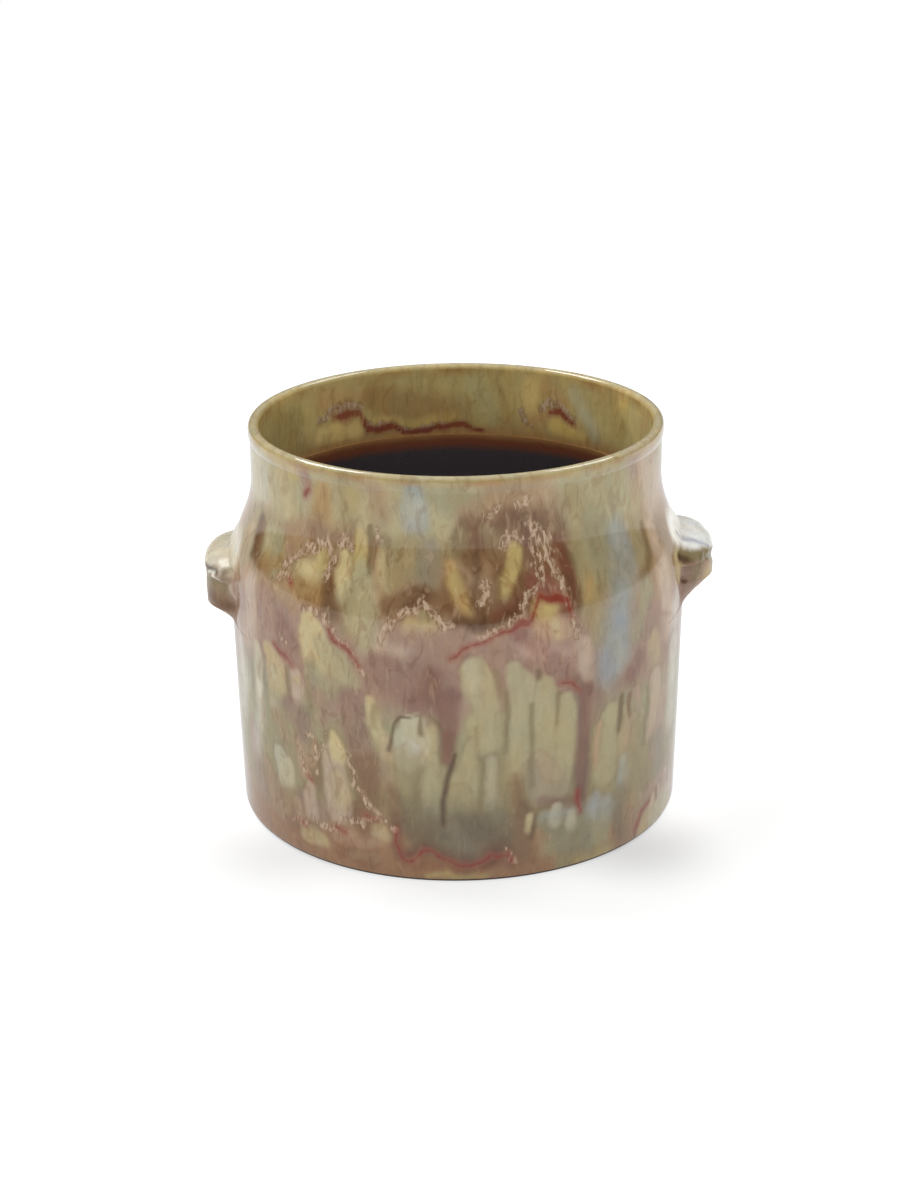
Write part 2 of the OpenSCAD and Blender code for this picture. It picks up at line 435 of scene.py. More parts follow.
LEFT_SHOULDER = flows(
    (Tone.OLIVE, 9, 0.85, (-71, 178.5, 14), (-51.5, 174.5, 16), (-30.5, 175.5, 16)),
    (Tone.TAN, 7, 0.9, (-50, 185.5, 8), (-43, 187, 11), (-34.5, 189.5, 9)),
    (Tone.BROWN, 7, 0.55, (-41, 190.5, 5), (-32.5, 191.5, 6), (-28.5, 194, 5)),
    (Tone.BROWN, 5, 0.9, (-32, 175.5, 5), (-32.5, 163, 7), (-31.5, 154.5, 6)),
    (Tone.BROWN, 5, 0.85, (-64, 182.5, 5), (-63, 173.5, 6), (-60.5, 166.5, 6), (-54.5, 161, 5)),
    (Tone.CELADON, 5, 0.8, (-58, 182, 6), (-57, 174, 6)),
    (Tone.LEAF_GREY, 4, 0.75, (-53.5, 182.5, 5), (-52.5, 176.5, 4)),
    (Tone.OCHRE, 5, 0.85, (-71, 174.5, 6), (-70, 166.5, 6)),
    (Tone.SHELL, 4, 0.6, (-69.5, 179, 3)),
    (Tone.HONEY, 5, 0.6, (-56.5, 167, 5), (-51.5, 170, 4)),
    (Tone.LEAF_GREY, 4, 0.7, (-51.5, 162, 4)),
    (Tone.TAN, 6, 0.7, (-57.5, 157, 5), (-47, 160.5, 5), (-43.5, 153, 5)),
    (Tone.MAUVE, 4, 0.6, (-48, 178.5, 4), (-46, 170.5, 3)),
    (Tone.CREAM, 5, 0.9, (-42, 170.5, 5), (-38.5, 169.5, 6)),
    (Tone.BUTTER, 4, 0.6, (-40, 168.5, 4)),
    (Tone.STRAW, 3, 0.8, (-37, 181, 4), (-36.5, 175, 4)),
    (Tone.HONEY, 5, 0.8, (-42, 160.5, 6), (-37, 159, 7)),
    (Tone.BUTTER, 3.5, 0.9, (-30, 181.5, 4), (-29.5, 173.5, 5.5), (-29, 163, 5)),
    (Tone.STRAW, 3, 0.9, (-25.5, 195, 4.5), (-25, 185.5, 5.5), (-25, 177.5, 4)),
    (Tone.CELADON, 5, 0.85, (-24.5, 175.5, 6), (-23.5, 163.5, 9), (-23, 151.5, 9), (-21.5, 141.5, 7)),
    (Tone.OLIVE, 4, 0.6, (-26, 169.5, 2.5), (-26.5, 155.5, 3), (-27, 145.5, 4)),
    (Tone.OLIVE, 5, 0.8, (-17.5, 190, 6), (-16.5, 173.5, 6)),
    (Tone.CREAM, 3, 0.7, (-19.5, 186, 2), (-19, 173.5, 3)),
    (Tone.OLIVE, 6, 0.8, (-12.5, 192, 8), (-11.5, 182, 8)),
    (Tone.ASH, 6, 0.75, (-7, 188, 8), (-7.5, 175, 7)),
    (Tone.BROWN, 5, 0.85, (-16.5, 161.5, 5), (-10.5, 166.5, 6), (-4, 163.5, 7)),
    (Tone.DARK_BROWN, 5, 0.8, (-11.5, 161.5, 3.5), (-7.5, 167.5, 4)),
    (Tone.OLIVE, 3, 0.8, (-8, 157, 3.5), (-6.5, 155, 3)),
    (Tone.CREAM, 4, 0.7, (-11, 149, 5), (-6, 149, 5)),
    (Tone.DARK_OLIVE, 1.8, 0.7, (-22.5, 199, 2.2), (-22.5, 189, 2), (-22, 175.5, 1)),
    (Tone.DARK_OLIVE, 1.4, 0.6, (-21, 192, 0.9), (-21, 177.5, 0.7)),
    (Tone.DARK_BROWN, 5, 0.6, (-65, 182, 3.5), (-64, 167, 4)),
    (Tone.DARK_BROWN, 5, 0.6, (-33, 164, 4), (-31.5, 154, 4.5)),
    (Tone.MOSS, 6, 0.45, (-70.5, 173, 5), (-70, 164, 6)),
)

BROWN_ROUND = flows(
    (Tone.TAN, 8, 0.75, (4, 204.5, 12), (14, 211, 9), (25, 206.5, 9)),
    (Tone.BROWN, 6, 0.9, (3, 200.5, 9), (13, 203.5, 9), (22, 203.5, 8), (27, 194.5, 7), (29.5, 182, 7)),
    (Tone.BROWN, 6, 0.95, (3, 192.5, 11), (10, 186, 14), (18, 182, 14), (21, 172, 12)),
    (Tone.BROWN, 5, 0.95, (-1, 172, 7), (1, 162, 9), (9, 162, 10), (17, 163.5, 8)),
    (Tone.DARK_BROWN, 4, 0.85, (-1, 153, 3), (5, 153, 4.5), (11, 155, 4)),
    (Tone.DARK_BROWN, 4, 0.85, (29, 182, 5), (29.5, 167.5, 6), (29.5, 157, 4)),
    (Tone.DARK_BROWN, 4, 0.5, (18, 205.5, 3), (14, 201.5, 2.5)),
    (Tone.DARK_BROWN, 4, 0.55, (4.5, 186, 2), (5, 174, 2.5), (5, 164, 3)),
    (Tone.OLIVE, 6, 0.5, (8, 200.5, 5), (10, 191.5, 3)),
    (Tone.MOSS, 7, 0.7, (0, 196.5, 6), (-2, 186, 5)),
    (Tone.OCHRE, 3.5, 0.9, (-2, 182, 2.6), (-1, 174, 4.5), (1, 166.5, 5), (2, 161, 3)),
    (Tone.STRAW, 4, 0.6, (-1, 175, 2)),
    (Tone.STRAW, 3.5, 0.9, (15, 189.5, 4.5), (14, 180, 5), (12.5, 174, 4.5), (11, 168, 2.6)),
    (Tone.TAN, 4, 0.5, (7.5, 182, 3), (7, 169, 3.5)),
    (Tone.DEEP_MAUVE, 5, 0.6, (19, 196.5, 3), (20, 182, 4), (20, 172, 4)),
    (Tone.PLUM, 4, 0.75, (19, 169.5, 5), (23.5, 166.5, 6)),
    (Tone.RED, 2.5, 0.8, (24, 162, 1.8), (26.5, 159.5, 1.6)),
    (Tone.PEACH, 4, 0.85, (20.5, 148, 7), (23.5, 146, 8)),
    (Tone.STRAW, 3.5, 0.9, (19.5, 157, 5), (22, 156.5, 4.5)),
    (Tone.BUTTER, 3, 0.6, (23, 149, 2.5), (23.5, 142, 2)),
    (Tone.RUST, 7, 0.75, (9, 158, 3.5), (14.5, 160.5, 5), (17.5, 164, 3)),
    (Tone.RUST, 6, 0.75, (25.5, 155, 2.4), (28.5, 160, 5), (29, 172, 5), (27, 186, 5), (23, 177, 5)),
    (Tone.RUST, 8, 0.4, (10, 203, 3), (17, 204, 3), (22, 199, 4)),
    (Tone.DARK_BROWN, 7, 0.55, (9, 202, 3), (16, 204, 4.5), (22, 199, 4)),
    (Tone.STRAW, 5, 0.6, (-0.5, 171.5, 3)),
    (Tone.OCHRE, 6, 0.5, (19.5, 153.5, 4.5)),
    (Tone.RUST, 6, 0.3, (-10, 162, 3), (-8, 166, 3)),
    (Tone.UMBER, 6, 0.4, (13, 158.5, 3), (16, 160.5, 3)),
    (Tone.UMBER, 6, 0.4, (28.5, 172, 3), (28.5, 158, 4)),
)

BLUE_SIDE = flows(
    (Tone.OLIVE, 6, 0.85, (34.5, 186, 10), (34.5, 168.5, 8), (34, 152, 7), (35, 135.5, 6)),
    (Tone.LEAF_GREY, 8, 0.75, (38.5, 196, 9), (39.5, 183.5, 12), (40.5, 171.5, 10)),
    (Tone.BLUE_GREY, 12, 0.85, (47, 185.5, 9), (47.5, 171, 11), (45.5, 161, 9)),
    (Tone.BLUE_GREY, 13, 0.85, (42, 154, 9), (41, 139.5, 12), (40.5, 125.5, 13), (40, 115.5, 11)),
    (Tone.SKY, 10, 0.4, (41.5, 142, 6), (40.5, 126, 8), (40.5, 116.5, 7)),
    (Tone.BLUE, 8, 0.4, (41, 150, 2.4), (41, 141, 3.5)),
    (Tone.BLUE, 7, 0.35, (37.5, 122.5, 4), (39, 113.5, 4)),
    (Tone.OCHRE, 4, 0.7, (34, 167.5, 3), (33, 159.5, 3)),
    (Tone.MOSS, 2.5, 0.6, (37, 169.5, 1.2), (36.5, 159.5, 1.2)),
    (Tone.MOSS, 2.5, 0.6, (39, 169.5, 1), (38, 160.5, 1)),
    (Tone.OLIVE, 5, 0.8, (54, 184.5, 5), (54, 169, 7)),
    (Tone.SHELL, 5, 0.8, (62, 181, 4.5), (62.5, 174.5, 6.5), (62, 168.5, 5), (64, 162, 5)),
    (Tone.DARK_OLIVE, 3.5, 0.65, (58, 184, 2), (57.5, 175, 2.6), (57, 166.5, 2.8), (54.5, 161, 2.8),
     (51.5, 159, 2)),
    (Tone.TAN, 7, 0.6, (67, 178.5, 5), (67, 166, 6)),
    (Tone.LEAF_GREY, 6, 0.7, (52.5, 151.5, 7), (50.5, 141.5, 6), (48, 131.5, 5)),
    (Tone.PINK_MAUVE, 7, 0.6, (54.5, 137, 5), (52.5, 123, 6)),
    (Tone.MAUVE, 6, 0.75, (50, 116, 5), (46, 108, 7), (43, 104, 5)),
    (Tone.SHELL, 8, 0.85, (61.5, 153, 9), (62.5, 138.5, 8), (65.5, 124.5, 10)),
    (Tone.PINK_MAUVE, 2.5, 0.6, (55.5, 138, 1.2), (62.5, 131.5, 1.2), (68.5, 125, 1)),
    (Tone.CREAM, 7, 0.6, (55.5, 121, 6), (57.5, 108.5, 7)),
    (Tone.SHELL, 5, 0.7, (30.5, 136, 4), (31, 121.5, 5), (31.5, 112.5, 4)),
    # A soft painted sheen towards the right side of the pot.
    (Tone.PAINTED_HIGHLIGHT, 12, 0.35, (70, 132, 6), (70.5, 118, 6)),
    (Tone.STONE, 9, 0.28, (39, 188, 9), (41, 166, 8), (55, 176, 5)),
    (Tone.STONE, 9, 0.25, (68, 176, 8), (70, 160, 8)),
)

MIDDLE = flows(
    (Tone.PINK_MAUVE, 6, 0.8, (-14, 141, 9), (0, 144, 6), (10, 143, 5)),
    (Tone.SHELL, 5, 0.6, (-18, 146, 4), (-17.5, 137.5, 5), (-13, 137, 4)),
    (Tone.MAUVE, 8, 0.85, (-18, 125.5, 10), (-12, 119.5, 14), (-6, 115.5, 14), (-2.5, 109.5, 8)),
    (Tone.RUST, 8, 0.75, (-6, 123, 4.5), (-7, 114, 3.5)),
    (Tone.DEEP_MAUVE, 7, 0.5, (-10, 109.5, 5), (-5, 107.5, 6)),
    (Tone.ROSE, 5, 0.75, (16, 138, 6), (21, 134, 6), (26, 128, 6)),
    (Tone.PLUM, 5, 0.45, (12, 146, 3), (18, 140, 3), (22, 126, 3)),
    (Tone.MAUVE, 4, 0.85, (22, 128, 4), (26, 117.5, 5), (30.5, 107.5, 6)),
    (Tone.PINK_MAUVE, 7, 0.85, (-55, 144, 10), (-48.5, 138.5, 11), (-46.5, 128.5, 9)),
    (Tone.MAUVE, 6, 0.5, (-47.5, 136.5, 5), (-43.5, 128.5, 5)),
    (Tone.SHELL, 7, 0.75, (-61.5, 151.5, 7), (-61, 141.5, 7), (-62, 129.5, 8), (-64, 117, 8)),
    (Tone.BUTTER, 4, 0.95, (-37.5, 146, 6), (-36.5, 137, 10), (-35.5, 127, 11)),
    (Tone.CELADON, 5, 0.9, (-33.5, 131, 7), (-29.5, 124, 8), (-27.5, 116, 8)),
    (Tone.LEAF_GREY, 6, 0.8, (-36.5, 115, 8), (-32.5, 108, 8)),
    (Tone.CREAM, 5, 0.8, (-53, 120, 5), (-50.5, 112, 9), (-50.5, 102, 8)),
    (Tone.CELADON, 5, 0.6, (-50, 106, 6), (-50, 97, 5)),
    (Tone.PALE_CELADON, 4, 0.7, (-58.5, 115.5, 5), (-58.5, 104.5, 6), (-58.5, 91, 5)),
    (Tone.SHELL, 3.5, 0.85, (-43, 111.5, 5), (-42.5, 103.5, 5.5), (-43.5, 96, 4)),
    (Tone.CREAM, 4, 0.6, (-42.5, 108.5, 3)),
    (Tone.MOSS, 3, 0.65, (-45.5, 114.5, 2), (-46, 100, 2.2), (-46, 90, 1.6)),
    (Tone.ASH, 3, 0.7, (-54.5, 114, 1.6), (-55, 99.5, 2), (-55, 87.5, 1.6)),
    (Tone.MOSS, 3, 0.6, (-39, 112.5, 1.4), (-38, 100.5, 2), (-38, 88.5, 1.4)),
    (Tone.MAUVE, 6, 0.75, (-45.5, 89, 8), (-41.5, 84, 9), (-41.5, 76, 6)),
    (Tone.MAUVE, 6, 0.8, (-26.5, 105, 7), (-25.5, 91, 9), (-24, 74.5, 8), (-22, 60.5, 7)),
    (Tone.PINK_MAUVE, 5, 0.7, (-34.5, 100.5, 6), (-30.5, 97, 5), (-34.5, 90.5, 5)),
    (Tone.SHELL, 5, 0.4, (-52, 85.5, 4)),
    (Tone.TAN, 6, 0.6, (-50.5, 77.5, 6), (-48.5, 69.5, 5)),
    (Tone.PLUM, 5, 0.6, (14, 147, 3.5)),
    (Tone.PLUM, 8, 0.4, (-47, 141, 4), (-46, 125, 4.5)),
    (Tone.DEEP_MAUVE, 6, 0.45, (46.5, 104, 5), (49.5, 114, 3)),
    (Tone.ASH, 7, 0.4, (50, 130, 5)),
    # A soft painted sheen towards the left side of the pot.
    (Tone.PAINTED_HIGHLIGHT, 12, 0.4, (-71, 112, 6), (-69.5, 93, 8), (-70.5, 72, 6)),
    (Tone.PALE_CELADON, 6, 0.5, (-52, 106, 4.5)),
)

TONGUES = flows(
    (Tone.CELADON, 4, 0.85, (3, 128, 7), (4.5, 118, 9), (6, 100, 10), (7, 86, 9)),
    (Tone.PALE_CELADON, 6, 0.4, (2.5, 130, 4.5), (3.5, 118, 5)),
    (Tone.CELADON, 4, 0.85, (13, 124, 5.5), (15.5, 112, 8.5), (15.5, 96, 8), (14.5, 80, 7), (13.5, 64, 5)),
    (Tone.CELADON, 4, 0.9, (21, 116, 5), (21, 102, 7), (21, 84, 8), (21, 66, 8), (21, 50, 7)),
    (Tone.CELADON, 4, 0.9, (26, 103, 4.5), (27, 92, 6.5), (27, 76, 6.5), (26, 60, 7), (25, 50, 6)),
    (Tone.ROSE, 12, 0.35, (20, 68, 7), (22, 58, 9), (23, 50, 9)),
    (Tone.ASH, 9, 0.45, (17, 66, 4), (19, 52, 6), (25, 50, 6)),
    (Tone.OLIVE, 5, 0.5, (10, 100, 2), (10, 80, 2.5), (11, 62, 3)),
    (Tone.PINK_MAUVE, 3, 0.7, (9.5, 132, 3), (10, 124, 2)),
    (Tone.BUTTER, 5, 0.75, (-21, 106, 3), (-20.5, 99, 4), (-19, 88, 4.5), (-17.5, 76, 4.5)),
    (Tone.PALE_CELADON, 3.5, 0.8, (-11, 96, 7), (-11, 87, 10), (-11.5, 76, 10.5)),
    (Tone.MIST, 10, 0.3, (-11, 80, 5)),
    (Tone.OLIVE, 9, 0.65, (-12.5, 72, 10), (-13, 60, 9), (-13.5, 52, 6)),
    (Tone.PEACH, 6, 0.4, (-17.5, 84, 3), (-18, 68, 4), (-17, 56, 4)),
    (Tone.CREAM, 5, 0.45, (-6.5, 93, 3), (-6, 84, 3), (-7, 76, 3)),
    (Tone.CELADON, 4, 0.8, (2.5, 84, 2.5), (2, 74, 5), (1, 60, 7.5), (0.5, 46, 8)),
    (Tone.OLIVE, 9, 0.5, (0, 54, 6), (0, 42, 7)),
    (Tone.PALE_CELADON, 5, 0.45, (7.5, 73, 3), (7.5, 60, 4), (7.5, 48, 4)),
    (Tone.CELADON, 5, 0.75, (-6, 73, 3), (-7, 60, 5.5), (-7, 46, 5.5)),
    (Tone.PINK_MAUVE, 5, 0.8, (1, 106, 5), (-0.5, 94, 3)),
    (Tone.DEEP_MAUVE, 4, 0.8, (-2.5, 110, 7), (-2.5, 96, 6), (-2.5, 86, 4.5), (-3, 74, 2.6)),
    (Tone.RUST, 5, 0.55, (-2.5, 90, 3), (-3, 76, 2.2)),
    (Tone.DEEP_MAUVE, 4.5, 0.9, (32, 106, 5), (31.5, 90, 4.5), (31.5, 72, 4.5), (31, 56, 4.5), (31, 45, 4),
     (31, 34, 3)),
    (Tone.MAUVE, 6, 0.7, (35, 98, 6), (34, 88, 4)),
    (Tone.IRON, 5, 0.75, (30, 47, 1.6), (30.5, 40, 3), (31, 33, 2.4)),
    (Tone.CELADON, 4, 0.85, (40, 91, 4.5), (39, 82, 7), (38.5, 68, 8), (38, 52, 8)),
    (Tone.PEACH, 4, 0.7, (36.5, 84, 2), (35.5, 74, 2), (35, 60, 1.6)),
    (Tone.CELADON, 5, 0.7, (44, 88, 2), (44.5, 80, 4), (45, 66, 6), (45, 50, 6)),
    (Tone.PEACH, 8, 0.5, (47, 78, 6), (46.5, 68, 6)),
    (Tone.SKY, 7, 0.5, (44.5, 56, 3.5), (45, 44, 5)),
    (Tone.OLIVE, 7, 0.6, (50, 72, 5), (49, 56, 6), (48, 40, 6)),
    (Tone.ROSE, 5, 0.6, (48.5, 95, 2.6), (49.5, 89, 2.6), (50, 85, 2)),
    (Tone.PLUM, 5, 0.4, (46, 108, 2), (47, 100, 2)),
    (Tone.SHELL, 6, 0.7, (57.5, 96, 6), (58, 80, 7), (57, 66, 7)),
    (Tone.ROSE, 8, 0.6, (63, 84, 5), (62, 66, 7), (60, 50, 9)),
    (Tone.MILK, 9, 0.6, (69, 104, 9), (69, 84, 8), (69, 62, 8)),
    (Tone.ASH, 9, 0.7, (59, 58, 7), (61, 46, 8), (62, 36, 7)),
)

LOWER = flows(
    (Tone.STONE, 12, 0.75, (-12, 44, 8), (-6, 36, 9), (2, 34, 14), (10, 38, 11)),
    (Tone.DRAB, 10, 0.8, (-13, 34, 8), (-10, 26, 8), (2, 24, 14), (10, 24, 10)),
    (Tone.SLATE, 12, 0.5, (4, 34, 8), (6, 26, 8)),
    (Tone.BROWN, 6, 0.8, (13.5, 62, 2), (14.5, 48, 4), (15.5, 36, 5), (16, 22, 6), (16, 12, 5)),
    (Tone.UMBER, 4, 0.5, (15.5, 46, 1.4), (17, 41, 1.4), (21, 40, 1.2), (25, 42, 1)),
    (Tone.BROWN, 6, 0.8, (-16.5, 54, 3), (-16, 40, 4.5), (-16, 28, 3)),
    (Tone.MOSS, 4, 0.6, (-9.5, 68, 1.8), (-10.5, 52, 2.4), (-11, 38, 2.6)),
    (Tone.BROWN, 3.5, 0.7, (-37, 74, 2), (-37, 60, 2.5), (-36.5, 46, 2)),
    (Tone.MOSS, 3.5, 0.7, (-27, 70, 2), (-26, 57, 2.6), (-25, 46, 2.2)),
    (Tone.BROWN, 6, 0.8, (-23, 70, 6), (-22.5, 58, 7), (-21.5, 46, 6)),
    (Tone.PEACH, 6, 0.45, (-42.5, 68, 6), (-41, 56, 6)),
    (Tone.PINK_MAUVE, 9, 0.7, (-64, 60, 7), (-63, 44, 8), (-61, 28, 7)),
    (Tone.PINK_MAUVE, 7, 0.75, (-42, 34, 7), (-37, 33, 8)),
    (Tone.ORANGE_BROWN, 8, 0.9, (-64, 12, 9), (-50, 10, 9), (-40, 10, 9), (-28, 18, 12), (-19, 22, 12)),
    (Tone.ORANGE_BROWN, 7, 0.9, (-30, 8, 8), (-20, 10, 10), (-10, 7, 7), (2, 4, 5), (10, 6, 6), (18, 6, 4),
     (23, 4, 3)),
    (Tone.BROWN, 6, 0.5, (-47, 16, 4), (-46, 24, 4), (-43, 28, 4)),
    (Tone.TAN, 6, 0.6, (-29, 27, 5), (-25, 26, 5), (-20, 29, 5)),
    (Tone.CREAM, 4, 0.4, (-20, 33, 4), (-18.5, 30, 3)),
    (Tone.BROWN, 5, 0.8, (-25, 40, 5), (-21.5, 38, 4)),
    (Tone.BROWN, 4, 0.6, (-40, 56, 3), (-38.5, 51, 3)),
    (Tone.LEAF_GREY, 5, 0.85, (21, 34, 5), (26, 26, 9), (33, 28, 9), (39, 28, 8), (36, 16, 10), (24, 16, 7)),
    (Tone.STONE, 9, 0.4, (24, 26, 7), (30, 22, 9), (28, 14, 8)),
    (Tone.DEEP_MAUVE, 4, 0.6, (20.5, 46, 3), (27, 42, 3)),
    (Tone.PALE_CELADON, 3, 0.8, (24.5, 39, 3), (24, 31, 4)),
    (Tone.PALE_CELADON, 3, 0.7, (28.5, 33, 2.4), (28.5, 26, 3.5)),
    (Tone.SKY, 4, 0.6, (35.5, 39, 4), (35, 31, 5)),
    (Tone.BUTTER, 2.6, 0.85, (17.5, 36, 2.4), (17, 29, 1.6)),
    (Tone.UMBER, 3, 0.7, (19, 37, 1), (18.5, 30, 1.6), (17.5, 24, 1.4)),
    (Tone.SKY, 6, 0.45, (21, 35, 2), (38.5, 36, 4), (39.5, 28, 5)),
    (Tone.STONE, 8, 0.55, (44, 34, 6), (44.5, 20, 6), (46, 8, 5)),
    (Tone.SLATE, 8, 0.4, (43, 24, 3), (44, 12, 3)),
    (Tone.STRAW, 4, 0.8, (-8, 4, 1.4), (0, 5, 2.4), (6, 4, 1.8)),
    (Tone.OLIVE, 5, 0.85, (26, 5, 4), (39, 5, 5)),
    (Tone.STRAW, 4, 0.45, (31, 3, 3), (41, 3, 3)),
    (Tone.CREAM, 5, 0.7, (54, 5, 6), (58, 11, 8), (64, 10, 10), (70, 8, 10)),
    (Tone.PALE_CELADON, 7, 0.6, (60, 8, 7), (68, 8, 8)),
    (Tone.SHELL, 3, 0.8, (59, 22, 2.4), (58.5, 17, 3)),
    (Tone.SHELL, 3, 0.7, (63, 22, 2.6), (63, 16, 3)),
    (Tone.SHELL, 3, 0.8, (67, 27, 3), (67, 19, 4)),
    (Tone.SHELL, 3, 0.7, (71.5, 23, 3), (71.5, 15, 3)),
    (Tone.ROSE, 5, 0.6, (56, 28, 3), (64, 29, 3)),
    (Tone.IRON, 8, 0.9, (-16, 33, 1.6), (-16, 23, 2), (-14.5, 16, 2.2), (-11.5, 16, 2), (-8.5, 20.5, 2.2),
     (-6, 20, 2), (-3.5, 15.5, 2), (0, 12.5, 2.4), (4, 14, 3), (8, 17, 3), (11.5, 17, 2.4),
     (12.5, 11, 1.6)),
    (Tone.SIENNA, 5, 0.6, (-11, 10, 2), (-8, 12.5, 3), (-4, 9.5, 2), (3, 8.5, 1.6), (8, 11, 3)),
    (Tone.IRON, 6, 0.6, (6, 12.5, 2.2), (9, 13.5, 2.6)),
    (Tone.BROWN, 6, 0.6, (29, 40, 4), (31, 36, 3)),
    (Tone.TAN, 7, 0.5, (-22, 25, 5), (-25, 32, 5)),
    (Tone.ASH, 10, 0.45, (-2, 30, 7), (3, 20, 7)),
    (Tone.SKY, 6, 0.5, (39, 35, 4)),
    (Tone.TAN, 6, 0.35, (66, 22, 4)),
    (Tone.RED, 5, 0.5, (30, 39, 2)),
    (Tone.BROWN, 7, 0.5, (-25, 33, 4.5)),
)

PEAKS = flows(
    (Tone.TAN, 4, 0.7, (-57, 46, 5), (-55, 36, 8), (-52, 24, 9)),
    (Tone.PALE_CELADON, 4, 0.8, (-51, 57, 5), (-49, 52, 8), (-48.5, 44, 7)),
    (Tone.PEACH, 3, 0.6, (-43.5, 70, 2), (-42, 60, 4.5), (-41, 52, 4)),
    (Tone.PEACH, 3, 0.6, (-37.5, 76, 1.2), (-38, 66, 2.6), (-38.5, 60, 3)),
    (Tone.SHELL, 4, 0.75, (-31.5, 72, 6.5), (-32, 60, 8), (-31.5, 46, 9), (-31, 36, 8)),
    (Tone.BUTTER, 3, 0.9, (-31.5, 83, 2.2), (-31, 77, 4.5), (-30.5, 69, 6)),
    (Tone.CREAM, 6, 0.6, (-31, 54, 5), (-30, 44, 6)),
    (Tone.SHELL, 3, 0.7, (-39.5, 46, 2.6), (-40, 38, 5), (-40, 31, 6)),
    (Tone.PEACH, 5, 0.6, (-45, 30, 4), (-44, 24, 4)),
    (Tone.PEACH, 3, 0.55, (-24.5, 50, 1.6), (-22.5, 42, 2), (-20, 36, 2)),
    (Tone.CREAM, 4, 0.75, (-42.5, 13, 4), (-39, 15.5, 6), (-35.5, 14, 4)),
    (Tone.PEACH, 5, 0.55, (-32, 20, 4), (-26, 20, 6), (-20, 24, 6)),
    (Tone.CREAM, 4, 0.55, (-21, 29, 4), (-18.5, 26, 4)),
    (Tone.SIENNA, 6, 0.5, (-31, 10, 3), (-29, 16, 2), (-24, 6, 4)),
    (Tone.SIENNA, 5, 0.45, (-25.5, 34, 3), (-24, 27, 3)),
    (Tone.TAN, 6, 0.6, (-27, 11, 4), (-22, 9, 4)),
    # A soft painted sheen towards the left side of the pot.
    (Tone.PAINTED_HIGHLIGHT, 12, 0.3, (-59, 92, 5), (-60, 72, 6), (-63, 52, 6)),
)

DRIPS = flows(
    (Tone.UMBER, 1.8, 0.8, (-11.5, 101, 0.7), (-14, 99.5, 0.8), (-15.5, 95.5, 0.8), (-16, 88, 0.8),
     (-17, 79, 1.1)),
    (Tone.DARK_OLIVE, 2, 0.75, (-11.5, 101, 0.6), (-9, 100.5, 0.8), (-9, 95, 1.2), (-9, 90.5, 1.5)),
    (Tone.DARK_OLIVE, 2, 0.6, (-7, 99.5, 0.6), (-5, 96.5, 0.9), (-4, 92.5, 0.6)),
    (Tone.UMBER, 2.4, 0.85, (-1, 80, 0.8), (-2, 72, 1.4), (-3, 61.5, 1.5), (-4, 48, 1.4), (-4, 36, 1.4)),
    (Tone.SLATE, 5, 0.5, (-4, 31, 2.4)),
    (Tone.MOSS, 3, 0.6, (8.5, 124, 2), (9.5, 116, 2), (11, 109.5, 1.8)),
    (Tone.MOSS, 2.6, 0.7, (11, 113, 1.4), (11.5, 101.5, 1.6), (11, 87.5, 1.4), (11, 77, 1)),
    (Tone.MOSS, 2.6, 0.75, (17.5, 103.5, 1.4), (17.5, 85, 1.6), (17.5, 67, 1.5), (18, 56.5, 1)),
    (Tone.DARK_OLIVE, 2.4, 0.65, (18.5, 123, 2), (19, 118.5, 2.2)),
    (Tone.MOSS, 2.6, 0.75, (24, 108.5, 1.4), (24, 98.5, 1.4), (24, 89, 1)),
    (Tone.MOSS, 3, 0.6, (5.5, 75, 1.2), (5.5, 59, 1.4), (5, 46.5, 1)),
    (Tone.MOSS, 3, 0.5, (4, 93.5, 1.2), (4.5, 83, 1)),
    (Tone.DARK_OLIVE, 2.4, 0.75, (43, 95, 2), (43, 84.5, 2), (42.5, 75.5, 1.8)),
    (Tone.BROWN, 2.4, 0.8, (46, 94, 2), (46, 85.5, 1.8), (46.5, 81.5, 1.6)),
    (Tone.MOSS, 4, 0.6, (53.5, 92.5, 1.5), (53.5, 76, 1.9), (52.5, 60, 1.9)),
    (Tone.MOSS, 3, 0.6, (-19.5, 102, 1.8), (-20, 95, 2), (-20, 91.5, 2)),
    (Tone.BROWN, 2.4, 0.8, (61, 23.5, 1.5), (61.5, 17, 1.8)),
    (Tone.ASH, 3, 0.4, (-36.5, 115, 1.2), (-36.5, 106.5, 1)),
    (Tone.ASH, 5, 0.5, (-63, 111, 2), (-62.5, 90.5, 2.4), (-62.5, 78.5, 2)),
    (Tone.BROWN, 3, 0.8, (50.5, 2.5, 1), (51.5, 10.5, 1.5), (53.5, 16.5, 1.7), (57, 20.5, 1.7)),
    (Tone.MOSS, 2.6, 0.5, (-28.5, 169, 1), (-27.5, 157.5, 1.2)),
)

